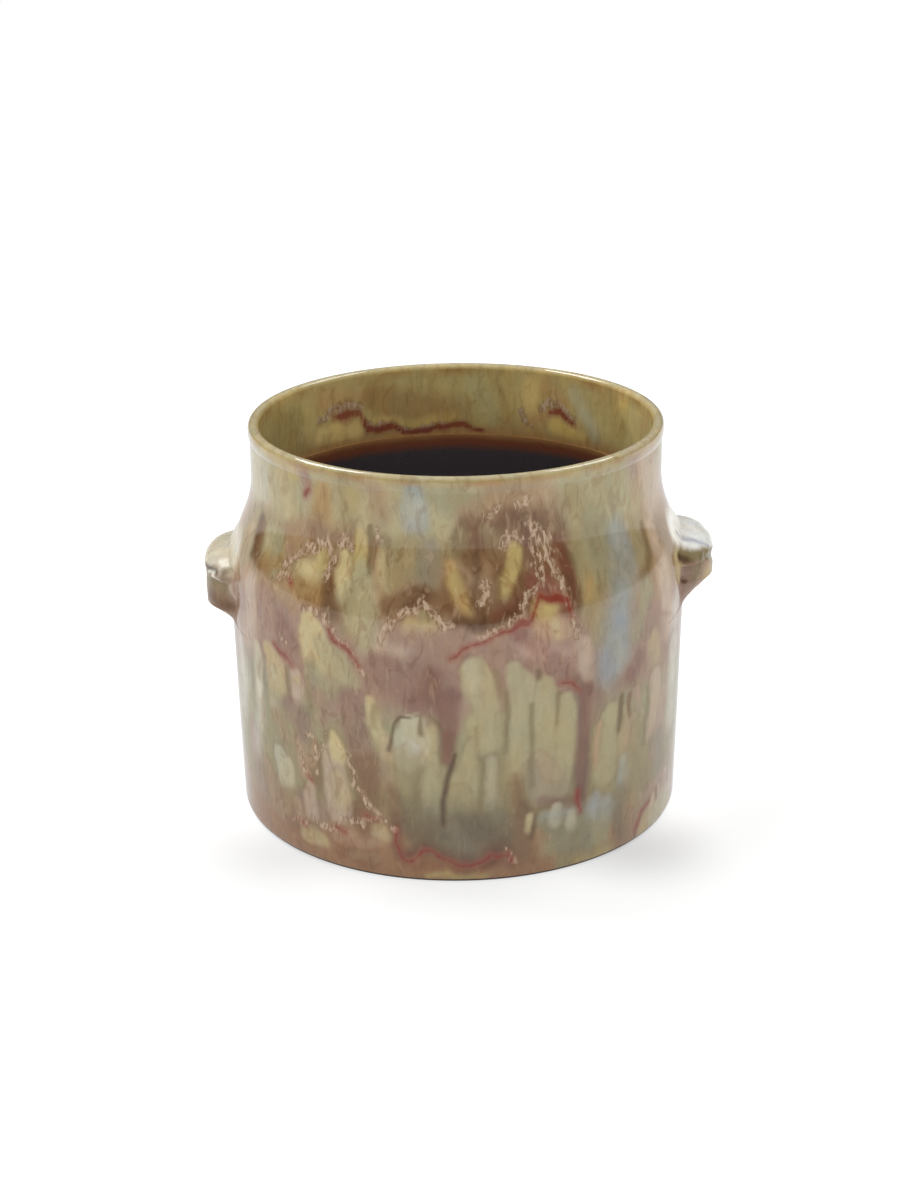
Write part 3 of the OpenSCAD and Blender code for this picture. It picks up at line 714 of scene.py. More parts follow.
INSIDE = flows(
    (Tone.OLIVE, 10, 0.7, (-51, 207, 26), (-0.5, 206.5, 26), (50, 207, 26)),
    (Tone.MOSS, 12, 0.8, (-82, 214.5, 18), (-63, 205.5, 16)),
    (Tone.TAN, 8, 0.7, (-45.5, 216, 8), (-37.5, 209, 8), (-31.5, 212.5, 6)),
    (Tone.CREAM, 4, 0.8, (-47, 193, 5), (-38.5, 193.5, 6), (-32.5, 192.5, 5)),
    (Tone.BROWN, 9, 0.6, (-26.5, 212.5, 10), (-18.5, 204.5, 10), (-6.5, 203.5, 9), (1.5, 198, 7)),
    (Tone.LEAF_GREY, 7, 0.7, (5.5, 216.5, 7), (9.5, 206.5, 5), (11.5, 194, 4)),
    (Tone.BROWN, 4, 0.6, (12.5, 222.5, 1.5), (15.5, 206.5, 1.5), (17.5, 192.5, 1.2)),
    (Tone.CREAM, 7, 0.6, (24.5, 214.5, 7), (23.5, 206.5, 5)),
    (Tone.TAN, 6, 0.7, (30.5, 217, 7), (35.5, 209, 6), (23.5, 194.5, 4)),
    (Tone.STRAW, 4, 0.9, (33, 194.5, 5), (37, 192.5, 5), (43, 190, 3)),
    (Tone.SKY, 7, 0.5, (39.5, 217, 4), (44, 207, 5), (49, 195, 5)),
    (Tone.OLIVE, 9, 0.6, (56, 213.5, 12), (62, 205.5, 9)),
    (Tone.MOSS, 8, 0.5, (64, 205.5, 5), (62, 197.5, 5)),
    (Tone.TAN, 8, 0.5, (82, 222, 6), (76, 214, 5)),
    (Tone.STRAW, 5, 0.5, (-26.5, 195, 3), (-10.5, 193, 3), (0, 195, 3)),
    (Tone.ORANGE_BROWN, 8, 0.75, (-100, 185.5, 2), (-40.5, 184.5, 2.4), (-0.5, 184, 3), (40, 184.5, 2.4),
     (100, 185.5, 2)),
)

CRESTS: tuple[Path, ...] = (
    ((-49.5, 162.5, 1), (-48, 170.5, 1.5), (-45, 174.5, 1.5), (-42.5, 180, 1.8), (-39, 183, 1.8),
     (-36, 187.5, 1.6), (-34, 184.5, 1.5), (-33.5, 177.5, 1.4), (-34.5, 169, 1.2)),
    ((-49, 170.5, 1.4), (-47, 165.5, 1.6), (-44.5, 160.5, 1.2)),
    ((-31, 193.5, 1), (-30.5, 187.5, 1.4), (-28.5, 186.5, 1)),
    ((-20.5, 196, 1), (-20.5, 190, 0.8)),
    ((-16, 153, 1.2), (-13.5, 156, 1.3), (-12, 158, 1.2), (-10, 159, 1.2), (-8.5, 164.5, 1),
     (-7.5, 161.5, 1), (-5.5, 157, 1), (-4.5, 152.5, 1.2), (-2.5, 152, 1)),
    ((-16, 154, 1), (-17.5, 149, 1), (-18.5, 141.5, 0.8)),
    ((11, 190.5, 1.2), (12.5, 194.5, 1.5), (14.5, 198, 1.5), (16.5, 194.5, 1.3)),
    ((19, 202.5, 2), (21, 198.5, 3), (23, 192.5, 3.5), (24, 186, 2.6), (24.5, 178, 1.6)),
    ((20, 194.5, 1.8), (20.5, 186, 2.8), (21, 178, 2.6), (21.5, 171, 1.6)),
    ((25, 177, 1.2), (26.5, 169.5, 1.3), (27, 163.5, 1.2), (27.5, 156, 1), (28.5, 146, 1), (28.5, 138, 0.8)),
    ((7, 174, 1), (7, 170, 1.1), (6, 164, 0.9)),
    ((5, 146, 0.8), (9, 148, 1), (11.5, 151, 1.2), (13, 155.5, 1.4), (14.5, 154, 1.2)),
    ((15.5, 160, 1), (17.5, 163.5, 1.2), (19, 166.5, 1)),
    ((8, 209, 1.3), (10, 211, 1.5), (11.5, 213, 1)),
    ((16, 212, 1), (18.5, 214, 1)),
    ((-39.5, 152, 0.8), (-36.5, 153, 1), (-33.5, 150.5, 1), (-31.5, 144.5, 1), (-30, 139.5, 1),
     (-26.5, 134.5, 0.9), (-24.5, 128.5, 0.9), (-22.5, 122.5, 0.8)),
    ((-47.5, 129.5, 0.8), (-46, 126.5, 0.7)),
    ((12, 17, 0.5), (13, 11, 0.5)),
    ((-37.5, 54, 0.1), (-36, 65.5, 0.3), (-35, 75, 0.3), (-33.5, 83.5, 0.1)),
    ((-27.5, 72, 0.1), (-26.5, 64.5, 0.3), (-26, 56, 0.5), (-24.5, 47.5, 0.7), (-23, 40.5, 0.7),
     (-21, 36.5, 0.6)),
    ((-38.5, 59.5, 0.3), (-37.5, 69.5, 0.4), (-37.5, 77, 0.2), (-39.5, 78.5, 0.2)),
    ((-41, 53, 0.3), (-42, 61.5, 0.4), (-44, 71, 0.4)),
    ((-46, 20, 0.5), (-42.5, 19.5, 0.3), (-39, 27, 0.5), (-35.5, 24, 0.3), (-32.5, 23, 0.3),
     (-30, 31.5, 0.4), (-26.5, 31, 0.4), (-22.5, 35, 0.5), (-20, 38.5, 0.3)),
    ((-24, 46, 0.3), (-21.5, 39.5, 0.4), (-18.5, 36, 0.4), (-16.5, 30.5, 0.2)),
)

SEAMS: tuple[Path, ...] = (
    ((-2, 134, 0.4), (0.5, 139, 0.6), (4, 142, 0.6), (8, 145, 0.7), (12, 148, 1.1), (15, 151, 1.4),
     (17, 152, 0.9), (18.5, 156, 0.7), (20, 162.5, 0.9), (24.5, 162.5, 1.5), (27, 159, 1.1),
     (27.5, 152, 0.7)),
    ((-31.5, 143.5, 0.5), (-30, 137.5, 1.2), (-27.5, 135.5, 0.9), (-25.5, 132.5, 0.6), (-24, 127.5, 0.4)),
    ((-16, 32, 0.3), (-16, 24, 0.5), (-14.5, 14.5, 0.5), (-12.5, 12.5, 0.5), (-10.5, 15, 0.6),
     (-8.5, 19, 0.7), (-6.5, 20, 0.7), (-4.5, 16, 0.6), (-2, 12.5, 0.6), (0, 11, 0.6), (3, 11, 0.7),
     (5, 13, 0.7), (7.5, 16, 0.6), (10, 15, 0.6), (12, 16, 0.4), (12.5, 11.5, 0.3)),
    ((-50.5, 125, 0.4), (-48.5, 122.5, 1), (-46, 120.5, 0.7), (-43.5, 116.5, 0.3)),
    ((-45.5, 162.5, 0.5), (-44, 159.5, 0.5)),
    ((24, 116.5, 0.6), (27, 112.5, 0.7), (30, 106.5, 0.4)),
    ((30, 46.5, 0.6), (30, 39, 1.2), (31, 33, 0.7)),
    ((-44.5, 19.5, 0.3), (-42, 19, 0.5)),
    ((-40, 50.5, 0.3), (-39, 48.5, 0.4)),
    ((-24, 36, 0.3), (-21, 35, 0.3)),
    ((-32.5, 25.5, 0.3), (-29.5, 23.5, 0.3)),
    ((50.5, 6.5, 0.3), (53.5, 18, 0.6), (57, 20.5, 0.4)),
    ((-42.5, 214, 0.8), (-44, 209.5, 0.6)),
)

INSIDE_CRESTS: tuple[Path, ...] = (
    ((-47.5, 203, 1), (-42.5, 207, 2), (-36.5, 208.5, 2), (-31.5, 205.5, 1.4)),
    ((-29.5, 197.5, 0.9), (-26.5, 193.5, 1.1), (-20.5, 192.5, 0.9), (-13.5, 188, 0.9), (-3.5, 190, 0.8)),
    ((28.5, 205.5, 1.4), (31.5, 208.5, 1.6), (35.5, 207, 1.6), (40, 201, 1.2)),
    ((21.5, 199.5, 1.4), (23.5, 192.5, 1.4)),
)

INSIDE_SEAMS: tuple[Path, ...] = (
    ((-41.5, 202, 1.1), (-36.5, 203.5, 1.3), (-31.5, 202.5, 1.1), (-30, 197.5, 1.1), (-28.5, 191.5, 1.7),
     (-24.5, 191, 1.7), (-20.5, 191, 1.4), (-16.5, 188, 1.4), (-10.5, 187, 1.4), (-5.5, 188.5, 1.4),
     (-0.5, 189.5, 1.5), (2.5, 191, 1.6), (5.5, 187, 1.4), (8.5, 185, 1.2)),
    ((31.5, 202.5, 1), (34.5, 203.5, 1.4), (38, 200, 1.4), (40, 197, 0.9)),
)

LUG_GLAZE_AND_PAINTED_LIGHT = flows(
    # Left lug: milky glaze on the hood's top and its join with the wall, painted paler still as painted light
    # from above.
    (Tone.MILK, 6, 0.9, (-101, 156, 10), (-94, 156.5, 12), (-86, 156.5, 12), (-78, 156, 11)),
    (Tone.MILK, 10, 0.6, (-76, 160, 7)),
    # The olive band under the hood and the brown lower face are glaze darkened as painted shade.
    (Tone.MOSS, 5, 0.8, (-99, 138, 6), (-90, 138, 7), (-82, 138.5, 5.5), (-77, 138, 4.5)),
    (Tone.BROWN, 6, 0.8, (-96, 124, 7), (-86, 124, 7), (-79, 128, 7)),
    (Tone.DARK_BROWN, 5, 0.6, (-82, 130, 3), (-77.5, 127, 3.5)),
    # A painted highlight on the lump beside the wall.
    (Tone.SHELL, 4, 0.85, (-74.5, 142, 3), (-74, 133, 3)),
    # Pits pooled with dark glaze and deepened as painted shade, with a thin painted highlight along the ridge
    # below the first.
    (Tone.UMBER, 3, 0.9, (-82.5, 146.5, 1.7), (-78, 145.5, 1.8)),
    (Tone.PAINTED_HIGHLIGHT, 1.6, 0.95, (-81.5, 143.5, 0.7), (-76.5, 143, 0.8)),
    (Tone.DARK_OLIVE, 4, 0.75, (-76, 149, 1.6), (-75, 144.5, 1.6)),
    (Tone.PEACH, 4, 0.6, (-90, 118, 3), (-82, 120, 3), (-77, 121, 2)),
    # Right lug: pale glaze on the hood's top, painted near-white as painted light from above.
    (Tone.PAINTED_HIGHLIGHT, 5, 1.0, (101, 162, 9), (94, 163.5, 12), (86, 164, 12), (78, 167.5, 10)),
    (Tone.MIST, 7, 0.6, (98, 158, 5), (88, 158, 6), (79, 161, 4)),
    (Tone.BLUE, 3, 0.7, (79, 164.5, 0.8), (81, 160.5, 1), (83.5, 154.5, 1.2)),
    # The olive band under the hood is glaze darkened as painted shade.
    (Tone.MOSS, 3, 0.95, (98, 147, 4), (90, 148, 4.5), (83.5, 151, 4.5), (79, 154, 4), (76, 156.5, 2.8)),
    (Tone.STRAW, 5, 0.8, (97, 135, 7), (87, 137, 6.5), (82.5, 139, 5)),
    (Tone.OLIVE, 5, 0.8, (94, 127, 4), (83, 129, 5)),
    (Tone.MAUVE, 4, 0.9, (75.5, 149, 3.5), (75, 140, 5), (76.5, 129, 5.5)),
    # Holes pooled with dark glaze and deepened as painted shade.
    (Tone.UMBER, 3, 0.9, (74.5, 154, 2.4)),
    (Tone.UMBER, 2.4, 0.85, (76, 140.5, 1.2)),
)

LAYERS = (
    Layer(NECK, 0.75),
    Layer(LEFT_SHOULDER, 1.0),
    Layer(BROWN_ROUND, 1.0),
    Layer(BLUE_SIDE, 0.35),
    Layer(MIDDLE, 0.85, 0.15),
    Layer(TONGUES, 0.12, 0.4, 0.8),
    Layer(LOWER, 0.35, 0.15),
    Layer(PEAKS, 0.9, 0.45, 0.8),
    Layer(DRIPS, 0.1, 0.0, 0.8),
    Layer(LUG_GLAZE_AND_PAINTED_LIGHT, 0.3),
)


@dataclass(frozen=True)
class Band:
    """Patches in a band of height: how many, where their tops lie, half widths, edge and tones."""

    count: int
    tops: tuple[float, float]
    widths: tuple[float, float]
    edge: float
    tones: tuple[Tone, ...]


class HiddenSide:
    """Glaze flows that lie lowest on the side that faces away, from turn FIRST to LAST in degrees.

    Each pair of numbers gives the least and the most that a random number may be.
    """

    FIRST = 76.0
    LAST = 284.0
    BANDS = (
        Band(14, (194, 222), (6, 10), 8.0, (
            Tone.CELADON, Tone.PALE_CELADON, Tone.OLIVE, Tone.TAN, Tone.ROSE, Tone.SHELL, Tone.LEAF_GREY,
            Tone.BLUE_GREY, Tone.CREAM)),
        Band(34, (148, 190), (4, 9), 5.0, (
            Tone.BROWN, Tone.TAN, Tone.CREAM, Tone.OLIVE, Tone.MOSS, Tone.BLUE_GREY, Tone.BUTTER, Tone.STRAW,
            Tone.HONEY, Tone.BROWN)),
        Band(24, (106, 148), (5, 10), 6.0, (
            Tone.PINK_MAUVE, Tone.MAUVE, Tone.SHELL, Tone.ROSE, Tone.DEEP_MAUVE, Tone.SKY, Tone.BUTTER,
            Tone.CELADON)),
        Band(26, (10, 44), (5, 9), 7.0, (
            Tone.STONE, Tone.ASH, Tone.ROSE, Tone.PEACH, Tone.PINK_MAUVE, Tone.PALE_CELADON, Tone.LEAF_GREY)),
        Band(16, (2, 12), (5, 9), 6.0, (Tone.ORANGE_BROWN, Tone.OLIVE, Tone.TAN, Tone.ORANGE_BROWN)),
    )
    PATCH_SHIFT = (-5, 5)
    PATCH_RUN = (4, 16)
    PATCH_TAPER = (0.6, 1.1)
    PATCH_MIX = (0.6, 0.9)
    LEAN = (-2, 2)
    TONGUE_TONES = (Tone.CELADON, Tone.CELADON, Tone.PALE_CELADON, Tone.CREAM, Tone.OLIVE, Tone.LEAF_GREY,
                    Tone.SHELL)
    TONGUE_COUNT = 31
    TONGUE_STEP = (4.2, 9.4)
    TONGUE_TOP = (84, 128)
    TONGUE_TIP = (30, 72)
    TONGUE_WIDTH = (3.6, 9)
    TONGUE_EDGE = (4, 9)
    TONGUE_MIX = (0.55, 0.9)
    DRIP_TONES = (Tone.MOSS, Tone.UMBER, Tone.DARK_OLIVE, Tone.MOSS, Tone.DEEP_MAUVE)
    DRIP_DELAY = (0, 12)
    DRIP_WIDTH = (0.9, 2.2)
    DRIP_RUN = (10, 36)
    DRIP_EDGE = 2.4
    DRIP_MIX = (0.3, 0.75)

    def __init__(self, seed: int) -> None:
        """Starts the random numbers."""
        self.random = np.random.default_rng(seed)

    def _draw(self, limits: tuple[float, float]) -> float:
        """Draws a random number between two limits."""
        return self.random.uniform(*limits)

    def _pick(self, tones: tuple[Tone, ...]) -> Tone:
        """Picks one of some tones."""
        return tones[int(self.random.integers(len(tones)))]

    def patches(self) -> list[Stroke]:
        """Scatters soft upright patches over the bands of height.

        Returns:
            The patches.
        """
        made = []
        for band in self.BANDS:
            even = np.linspace(self.FIRST, self.LAST, band.count)
            for turn in even + self.random.uniform(*self.PATCH_SHIFT, band.count):
                top = self._draw(band.tops)
                width = self._draw(band.widths)
                foot = top - self._draw(self.PATCH_RUN)
                foot_turn = turn + self._draw(self.LEAN)
                path = ((turn, top, width), (foot_turn, foot, width * self._draw(self.PATCH_TAPER)))
                made.append(Stroke(self._pick(band.tones), path, band.edge, self._draw(self.PATCH_MIX)))
        return made

    def tongues(self) -> list[Stroke]:
        """Lays long pale tongues side by side round the lower wall, with a dark drip beside each.

        Returns:
            The tongues and drips.
        """
        made = []
        turns = self.FIRST + self.random.uniform(*self.TONGUE_STEP, self.TONGUE_COUNT).cumsum()
        for turn in turns[turns < self.LAST]:
            top = self._draw(self.TONGUE_TOP)
            tip = self._draw(self.TONGUE_TIP)
            width = self._draw(self.TONGUE_WIDTH)
            lean = self._draw(self.LEAN)
            widest = (turn + lean / 2, (2 * top + tip) / 3, width)
            path = ((turn, top, width * 0.7), widest, (turn + lean, tip, width * 0.8))
            tone = self._pick(self.TONGUE_TONES)
            made.append(Stroke(tone, path, self._draw(self.TONGUE_EDGE), self._draw(self.TONGUE_MIX)))
            beside = turn + width / 2.3
            start = top - self._draw(self.DRIP_DELAY)
            thick = self._draw(self.DRIP_WIDTH)
            run = self._draw(self.DRIP_RUN)
            drip = ((beside, start, thick), (beside + lean / 2, start - run, thick * 0.7))
            made.append(Stroke(self._pick(self.DRIP_TONES), drip, self.DRIP_EDGE, self._draw(self.DRIP_MIX)))
        return made


class GlazePainter:
    """Lays strokes of glaze over places on the pot, which it flattens to millimetres across and up.

    A stroke's distance is that to its chain, less the half width there. It covers a place by
    3c^2 - 2c^3, with c = 1/2 - distance / edge, kept from 0 to 1.
    """

    ACROSS = (Ripple(1.1, 15, 0, 0.45), Ripple(0.8, 6, 40, 0.45), Ripple(0.35, 2.6, 75, 0.45))
    UP = (Ripple(2.2, 13, 13), Ripple(1.3, 5, 57, 0.45))
    EDGE_GROWTH = 0.8
    OUTLINE_PLACE = 0.8
    OUTLINE_WIDTH = 1.2
    OUTLINE_FADE = 0.5
    OUTLINE_LOSS = (0.24, 0.36, 0.4)
    DEEPEST = -3.0
    FARTHEST = 8.0
    SHORTEST = 1e-9
    REST_STIR = 0.5
    GROUND_WAVE = Ripple(9, 22, 31, 0.5, layered=True)
    GROUND = {
        0: Tone.ORANGE_BROWN, 24: Tone.TAN, 43: Tone.OLIVE, 91: Tone.LEAF_GREY, 111: Tone.PINK_MAUVE,
        142: Tone.PINK_MAUVE, 156: Tone.TAN, 190: Tone.TAN, 200: Tone.CELADON, 222: Tone.CELADON,
        226: Tone.STRAW, 229: Tone.CREAM,
    }

    def __init__(self, profile: PotProfile, noise: SmoothNoise) -> None:
        """Keeps the millimetres in a degree of turn, and the noise that makes edges wander."""
        self.per_degree = math.radians(profile.belly_radius)
        self.noise = noise

    def start(self, points: Array) -> Paint:
        """Starts a paint with the ground, whose tones follow the height with a wavering border.

        Args:
            points: Places in millimetres.

        Returns:
            The paint, with no crest or seam near.
        """
        wave = points[:, 2] + self.GROUND_WAVE.at(self.noise, points)
        tones = np.array([linear(tone) for tone in self.GROUND.values()])
        stops = list(self.GROUND)
        tint = np.stack([np.interp(wave, stops, tones[:, channel]) for channel in range(3)], 1)
        far = np.full(len(points), self.FARTHEST)
        return Paint(tint, np.full(len(points), self.REST_STIR), far, far.copy())

    def wander(self, points: Array, turns: Array, heights: Array) -> Array:
        """Flattens turns and heights to rows of across and up, moved by ripples that are read at points."""
        across, up = (sum(ripple.at(self.noise, points) for ripple in way) for way in (self.ACROSS, self.UP))
        return np.stack([turns * self.per_degree + across, heights + up], 1)

    def distance(self, flat: Array, path: Path) -> tuple[Array, Array]:
        """Measures flattened places against a chain of discs, by the shorter way round the pot.

        Args:
            flat: Flattened places.
            path: Turn, height and half width, point by point.

        Returns:
            The signed distance in millimetres, negative inside, and how far along the chain it is taken.
        """
        knots = np.array(path, float) * (self.per_degree, 1, 1)
        whole_turn = 360 * self.per_degree
        near = flat.copy()
        near[:, 0] -= whole_turn * np.round((near[:, 0] - knots[0, 0]) / whole_turn)
        best = np.full(len(flat), np.inf)
        along = np.zeros(len(flat))
        legs = list(zip(knots[:-1], knots[1:])) or [(knots[0], knots[0])]
        for number, (start, end) in enumerate(legs):
            run = end[:2] - start[:2]
            share = np.clip((near - start[:2]) @ run / max(run @ run, self.SHORTEST), 0, 1)
            straight = np.linalg.norm(near - start[:2] - share[:, None] * run, axis=1)
            gap = straight - start[2] - share * (end[2] - start[2])
            along = np.where(gap < best, (number + share) / len(legs), along)
            best = np.minimum(best, gap)
        return best, along

    def lay(self, paint: Paint, flat: Array, layer: Layer) -> None:
        """Lays a layer of strokes over a paint, one after the other.

        An edge grows softer along its path, as glaze thins out where it runs down. An outline is a bell
        curve across the border, which takes some of each colour away.

        Args:
            paint: The paint, changed in place.
            flat: Its flattened places.
            layer: The strokes.
        """
        for stroke in layer.strokes:
            gap, along = self.distance(flat, stroke.path)
            fade = layer.crisp * stroke.edge * (1 + self.EDGE_GROWTH * along)
            cover = np.clip(0.5 - gap / fade, 0, 1)
            cover = (stroke.mix * cover * cover * (3 - 2 * cover))[:, None]
            bell = np.exp(-((gap - self.OUTLINE_PLACE) / self.OUTLINE_WIDTH) ** 2)
            border = layer.outline * bell * (1 - self.OUTLINE_FADE * along)
            paint.tint *= 1 - border[:, None] * self.OUTLINE_LOSS
            paint.tint += cover * (linear(stroke.tone) - paint.tint)
            paint.stir += cover[:, 0] * (layer.stir - paint.stir)

    def nearest(self, flat: Array, paths: tuple[Path, ...]) -> Array:
        """Finds the smallest signed distance to any of some paths, kept from DEEPEST to FARTHEST."""
        nearest = np.min([self.distance(flat, path)[0] for path in paths], axis=0)
        return np.clip(nearest, self.DEEPEST, self.FARTHEST)


@dataclass
class GlazeCoat:
    """All flows of glaze on the pot, outside and inside."""

    profile: PotProfile
    seed: int = 11
    inside_stir: float = 0.6
    inside_painted_light: Triple = (1.52, 1.44, 1.12)
    amber_height: float = 225.4
    amber_width: float = 1.2
    amber_mix: float = 0.7
    lip_and_highlight_width: float = 1.2
    noise: SmoothNoise = field(init=False)
    painter: GlazePainter = field(init=False)
    under: list[Layer] = field(init=False)

    SIDEWAYS = 9
    SIDEWAYS_WAVES = 3
    SIDEWAYS_SLANT = 1.3
    LIFT = 11
    LIFT_WAVES = 5
    LIFT_START = 40
    FOOT_SHADE_HEIGHTS = (0, 30, 60, 90)
    FOOT_SHADE = (0.84, 0.87, 0.93, 1)
    LIPS_AND_HIGHLIGHT = ((223.4, 0.45, Tone.STRAW), (227.2, 0.6, Tone.PALE_CELADON))
    AMBER_BREAKS = Ripple(1.1, 13, 3)
    STREAKS = (Ripple(0.02, 3.4, 7, 0.16, layered=True), Ripple(0.035, 11, 19, 0.3, layered=True))

    def __post_init__(self) -> None:
        """Draws the flows that lie below the others on the far side."""
        self.noise = SmoothNoise(self.seed)
        self.painter = GlazePainter(self.profile, self.noise)
        hidden = HiddenSide(self.seed + 1)
        self.under = [Layer(tuple(hidden.patches()), 0.7), Layer(tuple(hidden.tongues()), 0.2, 0.5, 0.8)]

    def carry_round(self, turns: Array, heights: Array) -> tuple[Array, Array]:
        """Finds the place on the front whose flows a place on the pot shows.

        The front shows its own. The back at turn t shows those at 180 - t, so the flows meet at the lugs.
        There slow waves move them by up to SIDEWAYS degrees and LIFT millimetres, and fade out towards
        the lugs by the cosine of the turn from the back.

        Args:
            turns: Turns in degrees, from -180 to 180.
            heights: Heights in millimetres.

        Returns:
            The turns and heights on the front.
        """
        from_back = turns - 180 * np.sign(turns)
        fade = np.cos(np.radians(from_back))
        slant = self.SIDEWAYS_WAVES * from_back + self.SIDEWAYS_SLANT * heights
        side = self.SIDEWAYS * fade * np.sin(np.radians(slant))
        lift = self.LIFT * fade * np.sin(np.radians(self.LIFT_WAVES * from_back + self.LIFT_START))
        behind = np.abs(turns) > 90
        return np.where(behind, side - from_back, turns), np.where(behind, heights + lift, heights)

    def outside(self, points: Array) -> Paint:
        """Paints the outer side.

        Args:
            points: Places in millimetres.

        Returns:
            The paint there.
        """
        turns, heights = place_of(points)
        paint = self.painter.start(points)
        own = self.painter.wander(points, turns, heights)
        for layer in self.under:
            self.painter.lay(paint, own, layer)
        shown = self.painter.wander(points, *self.carry_round(turns, heights))
        for layer in LAYERS:
            self.painter.lay(paint, shown, layer)
        paint.crest = self.painter.nearest(shown, CRESTS)
        paint.seam = self.painter.nearest(shown, SEAMS)
        return paint

    def within(self, points: Array) -> Paint:
        """Paints the inner side, lightened as painted light, whose flows are placed by their turn from the
        back.

        Args:
            points: Places in millimetres.

        Returns:
            The paint there.
        """
        turns, heights = place_of(points)
        paint = self.painter.start(points)
        flat = self.painter.wander(points, 180 - turns, heights)
        self.painter.lay(paint, flat, Layer(INSIDE, self.inside_stir))
        # Painted light: the inside's colours are lightened, as less light reaches in.
        paint.tint *= self.inside_painted_light
        paint.crest = self.painter.nearest(flat, INSIDE_CRESTS)
        paint.seam = self.painter.nearest(flat, INSIDE_SEAMS)
        return paint

    def rim_line(self, points: Array) -> Array:
        """Share of the thin amber line right under the rim: a bell curve over the height, broken up."""
        broken = np.clip(0.45 + self.AMBER_BREAKS.at(self.noise, points), 0.1, 1)
        return broken * np.exp(-((points[:, 2] - self.amber_height) / self.amber_width) ** 2)

    def dress(self, piece: Piece, points: Array, inside: Array | None = None) -> None:
        """Paints a piece: shaded towards the foot, paler at the lip with a painted highlight along its top,
        and streaked from top to bottom.

        Args:
            piece: The piece, whose points are given.
            points: Their places in millimetres.
            inside: Marks the points on the inner side, or None where there are none.
        """
        paint = self.outside(points)
        if inside is not None:
            paint.take(inside, self.within(points[inside]))
        heights = points[:, 2:]
        paint.tint *= np.interp(heights, self.FOOT_SHADE_HEIGHTS, self.FOOT_SHADE)
        # Paler lip: thinner glaze on its side, and a painted highlight along its top.
        for low, share, tone in self.LIPS_AND_HIGHLIGHT:
            rise = np.clip((heights - low) / self.lip_and_highlight_width, 0, 1)
            paint.tint += share * rise * (linear(tone) - paint.tint)
        line = self.rim_line(points)[:, None]
        paint.tint += self.amber_mix * line * (linear(Tone.AMBER) - paint.tint)
        streaks = sum((ripple.at(self.noise, points) for ripple in self.STREAKS), 1)
        paint.tint = np.clip(paint.tint * streaks[:, None], 0, 1)
        paint.store(piece)


@dataclass(frozen=True)
class Grain:
    """Noise on object coordinates: bumps per metre along each axis, finer layers, place and distortion."""

    scale: Triple
    detail: float = 2.0
    place: Triple = (0, 0, 0)
    distortion: float = 0.0


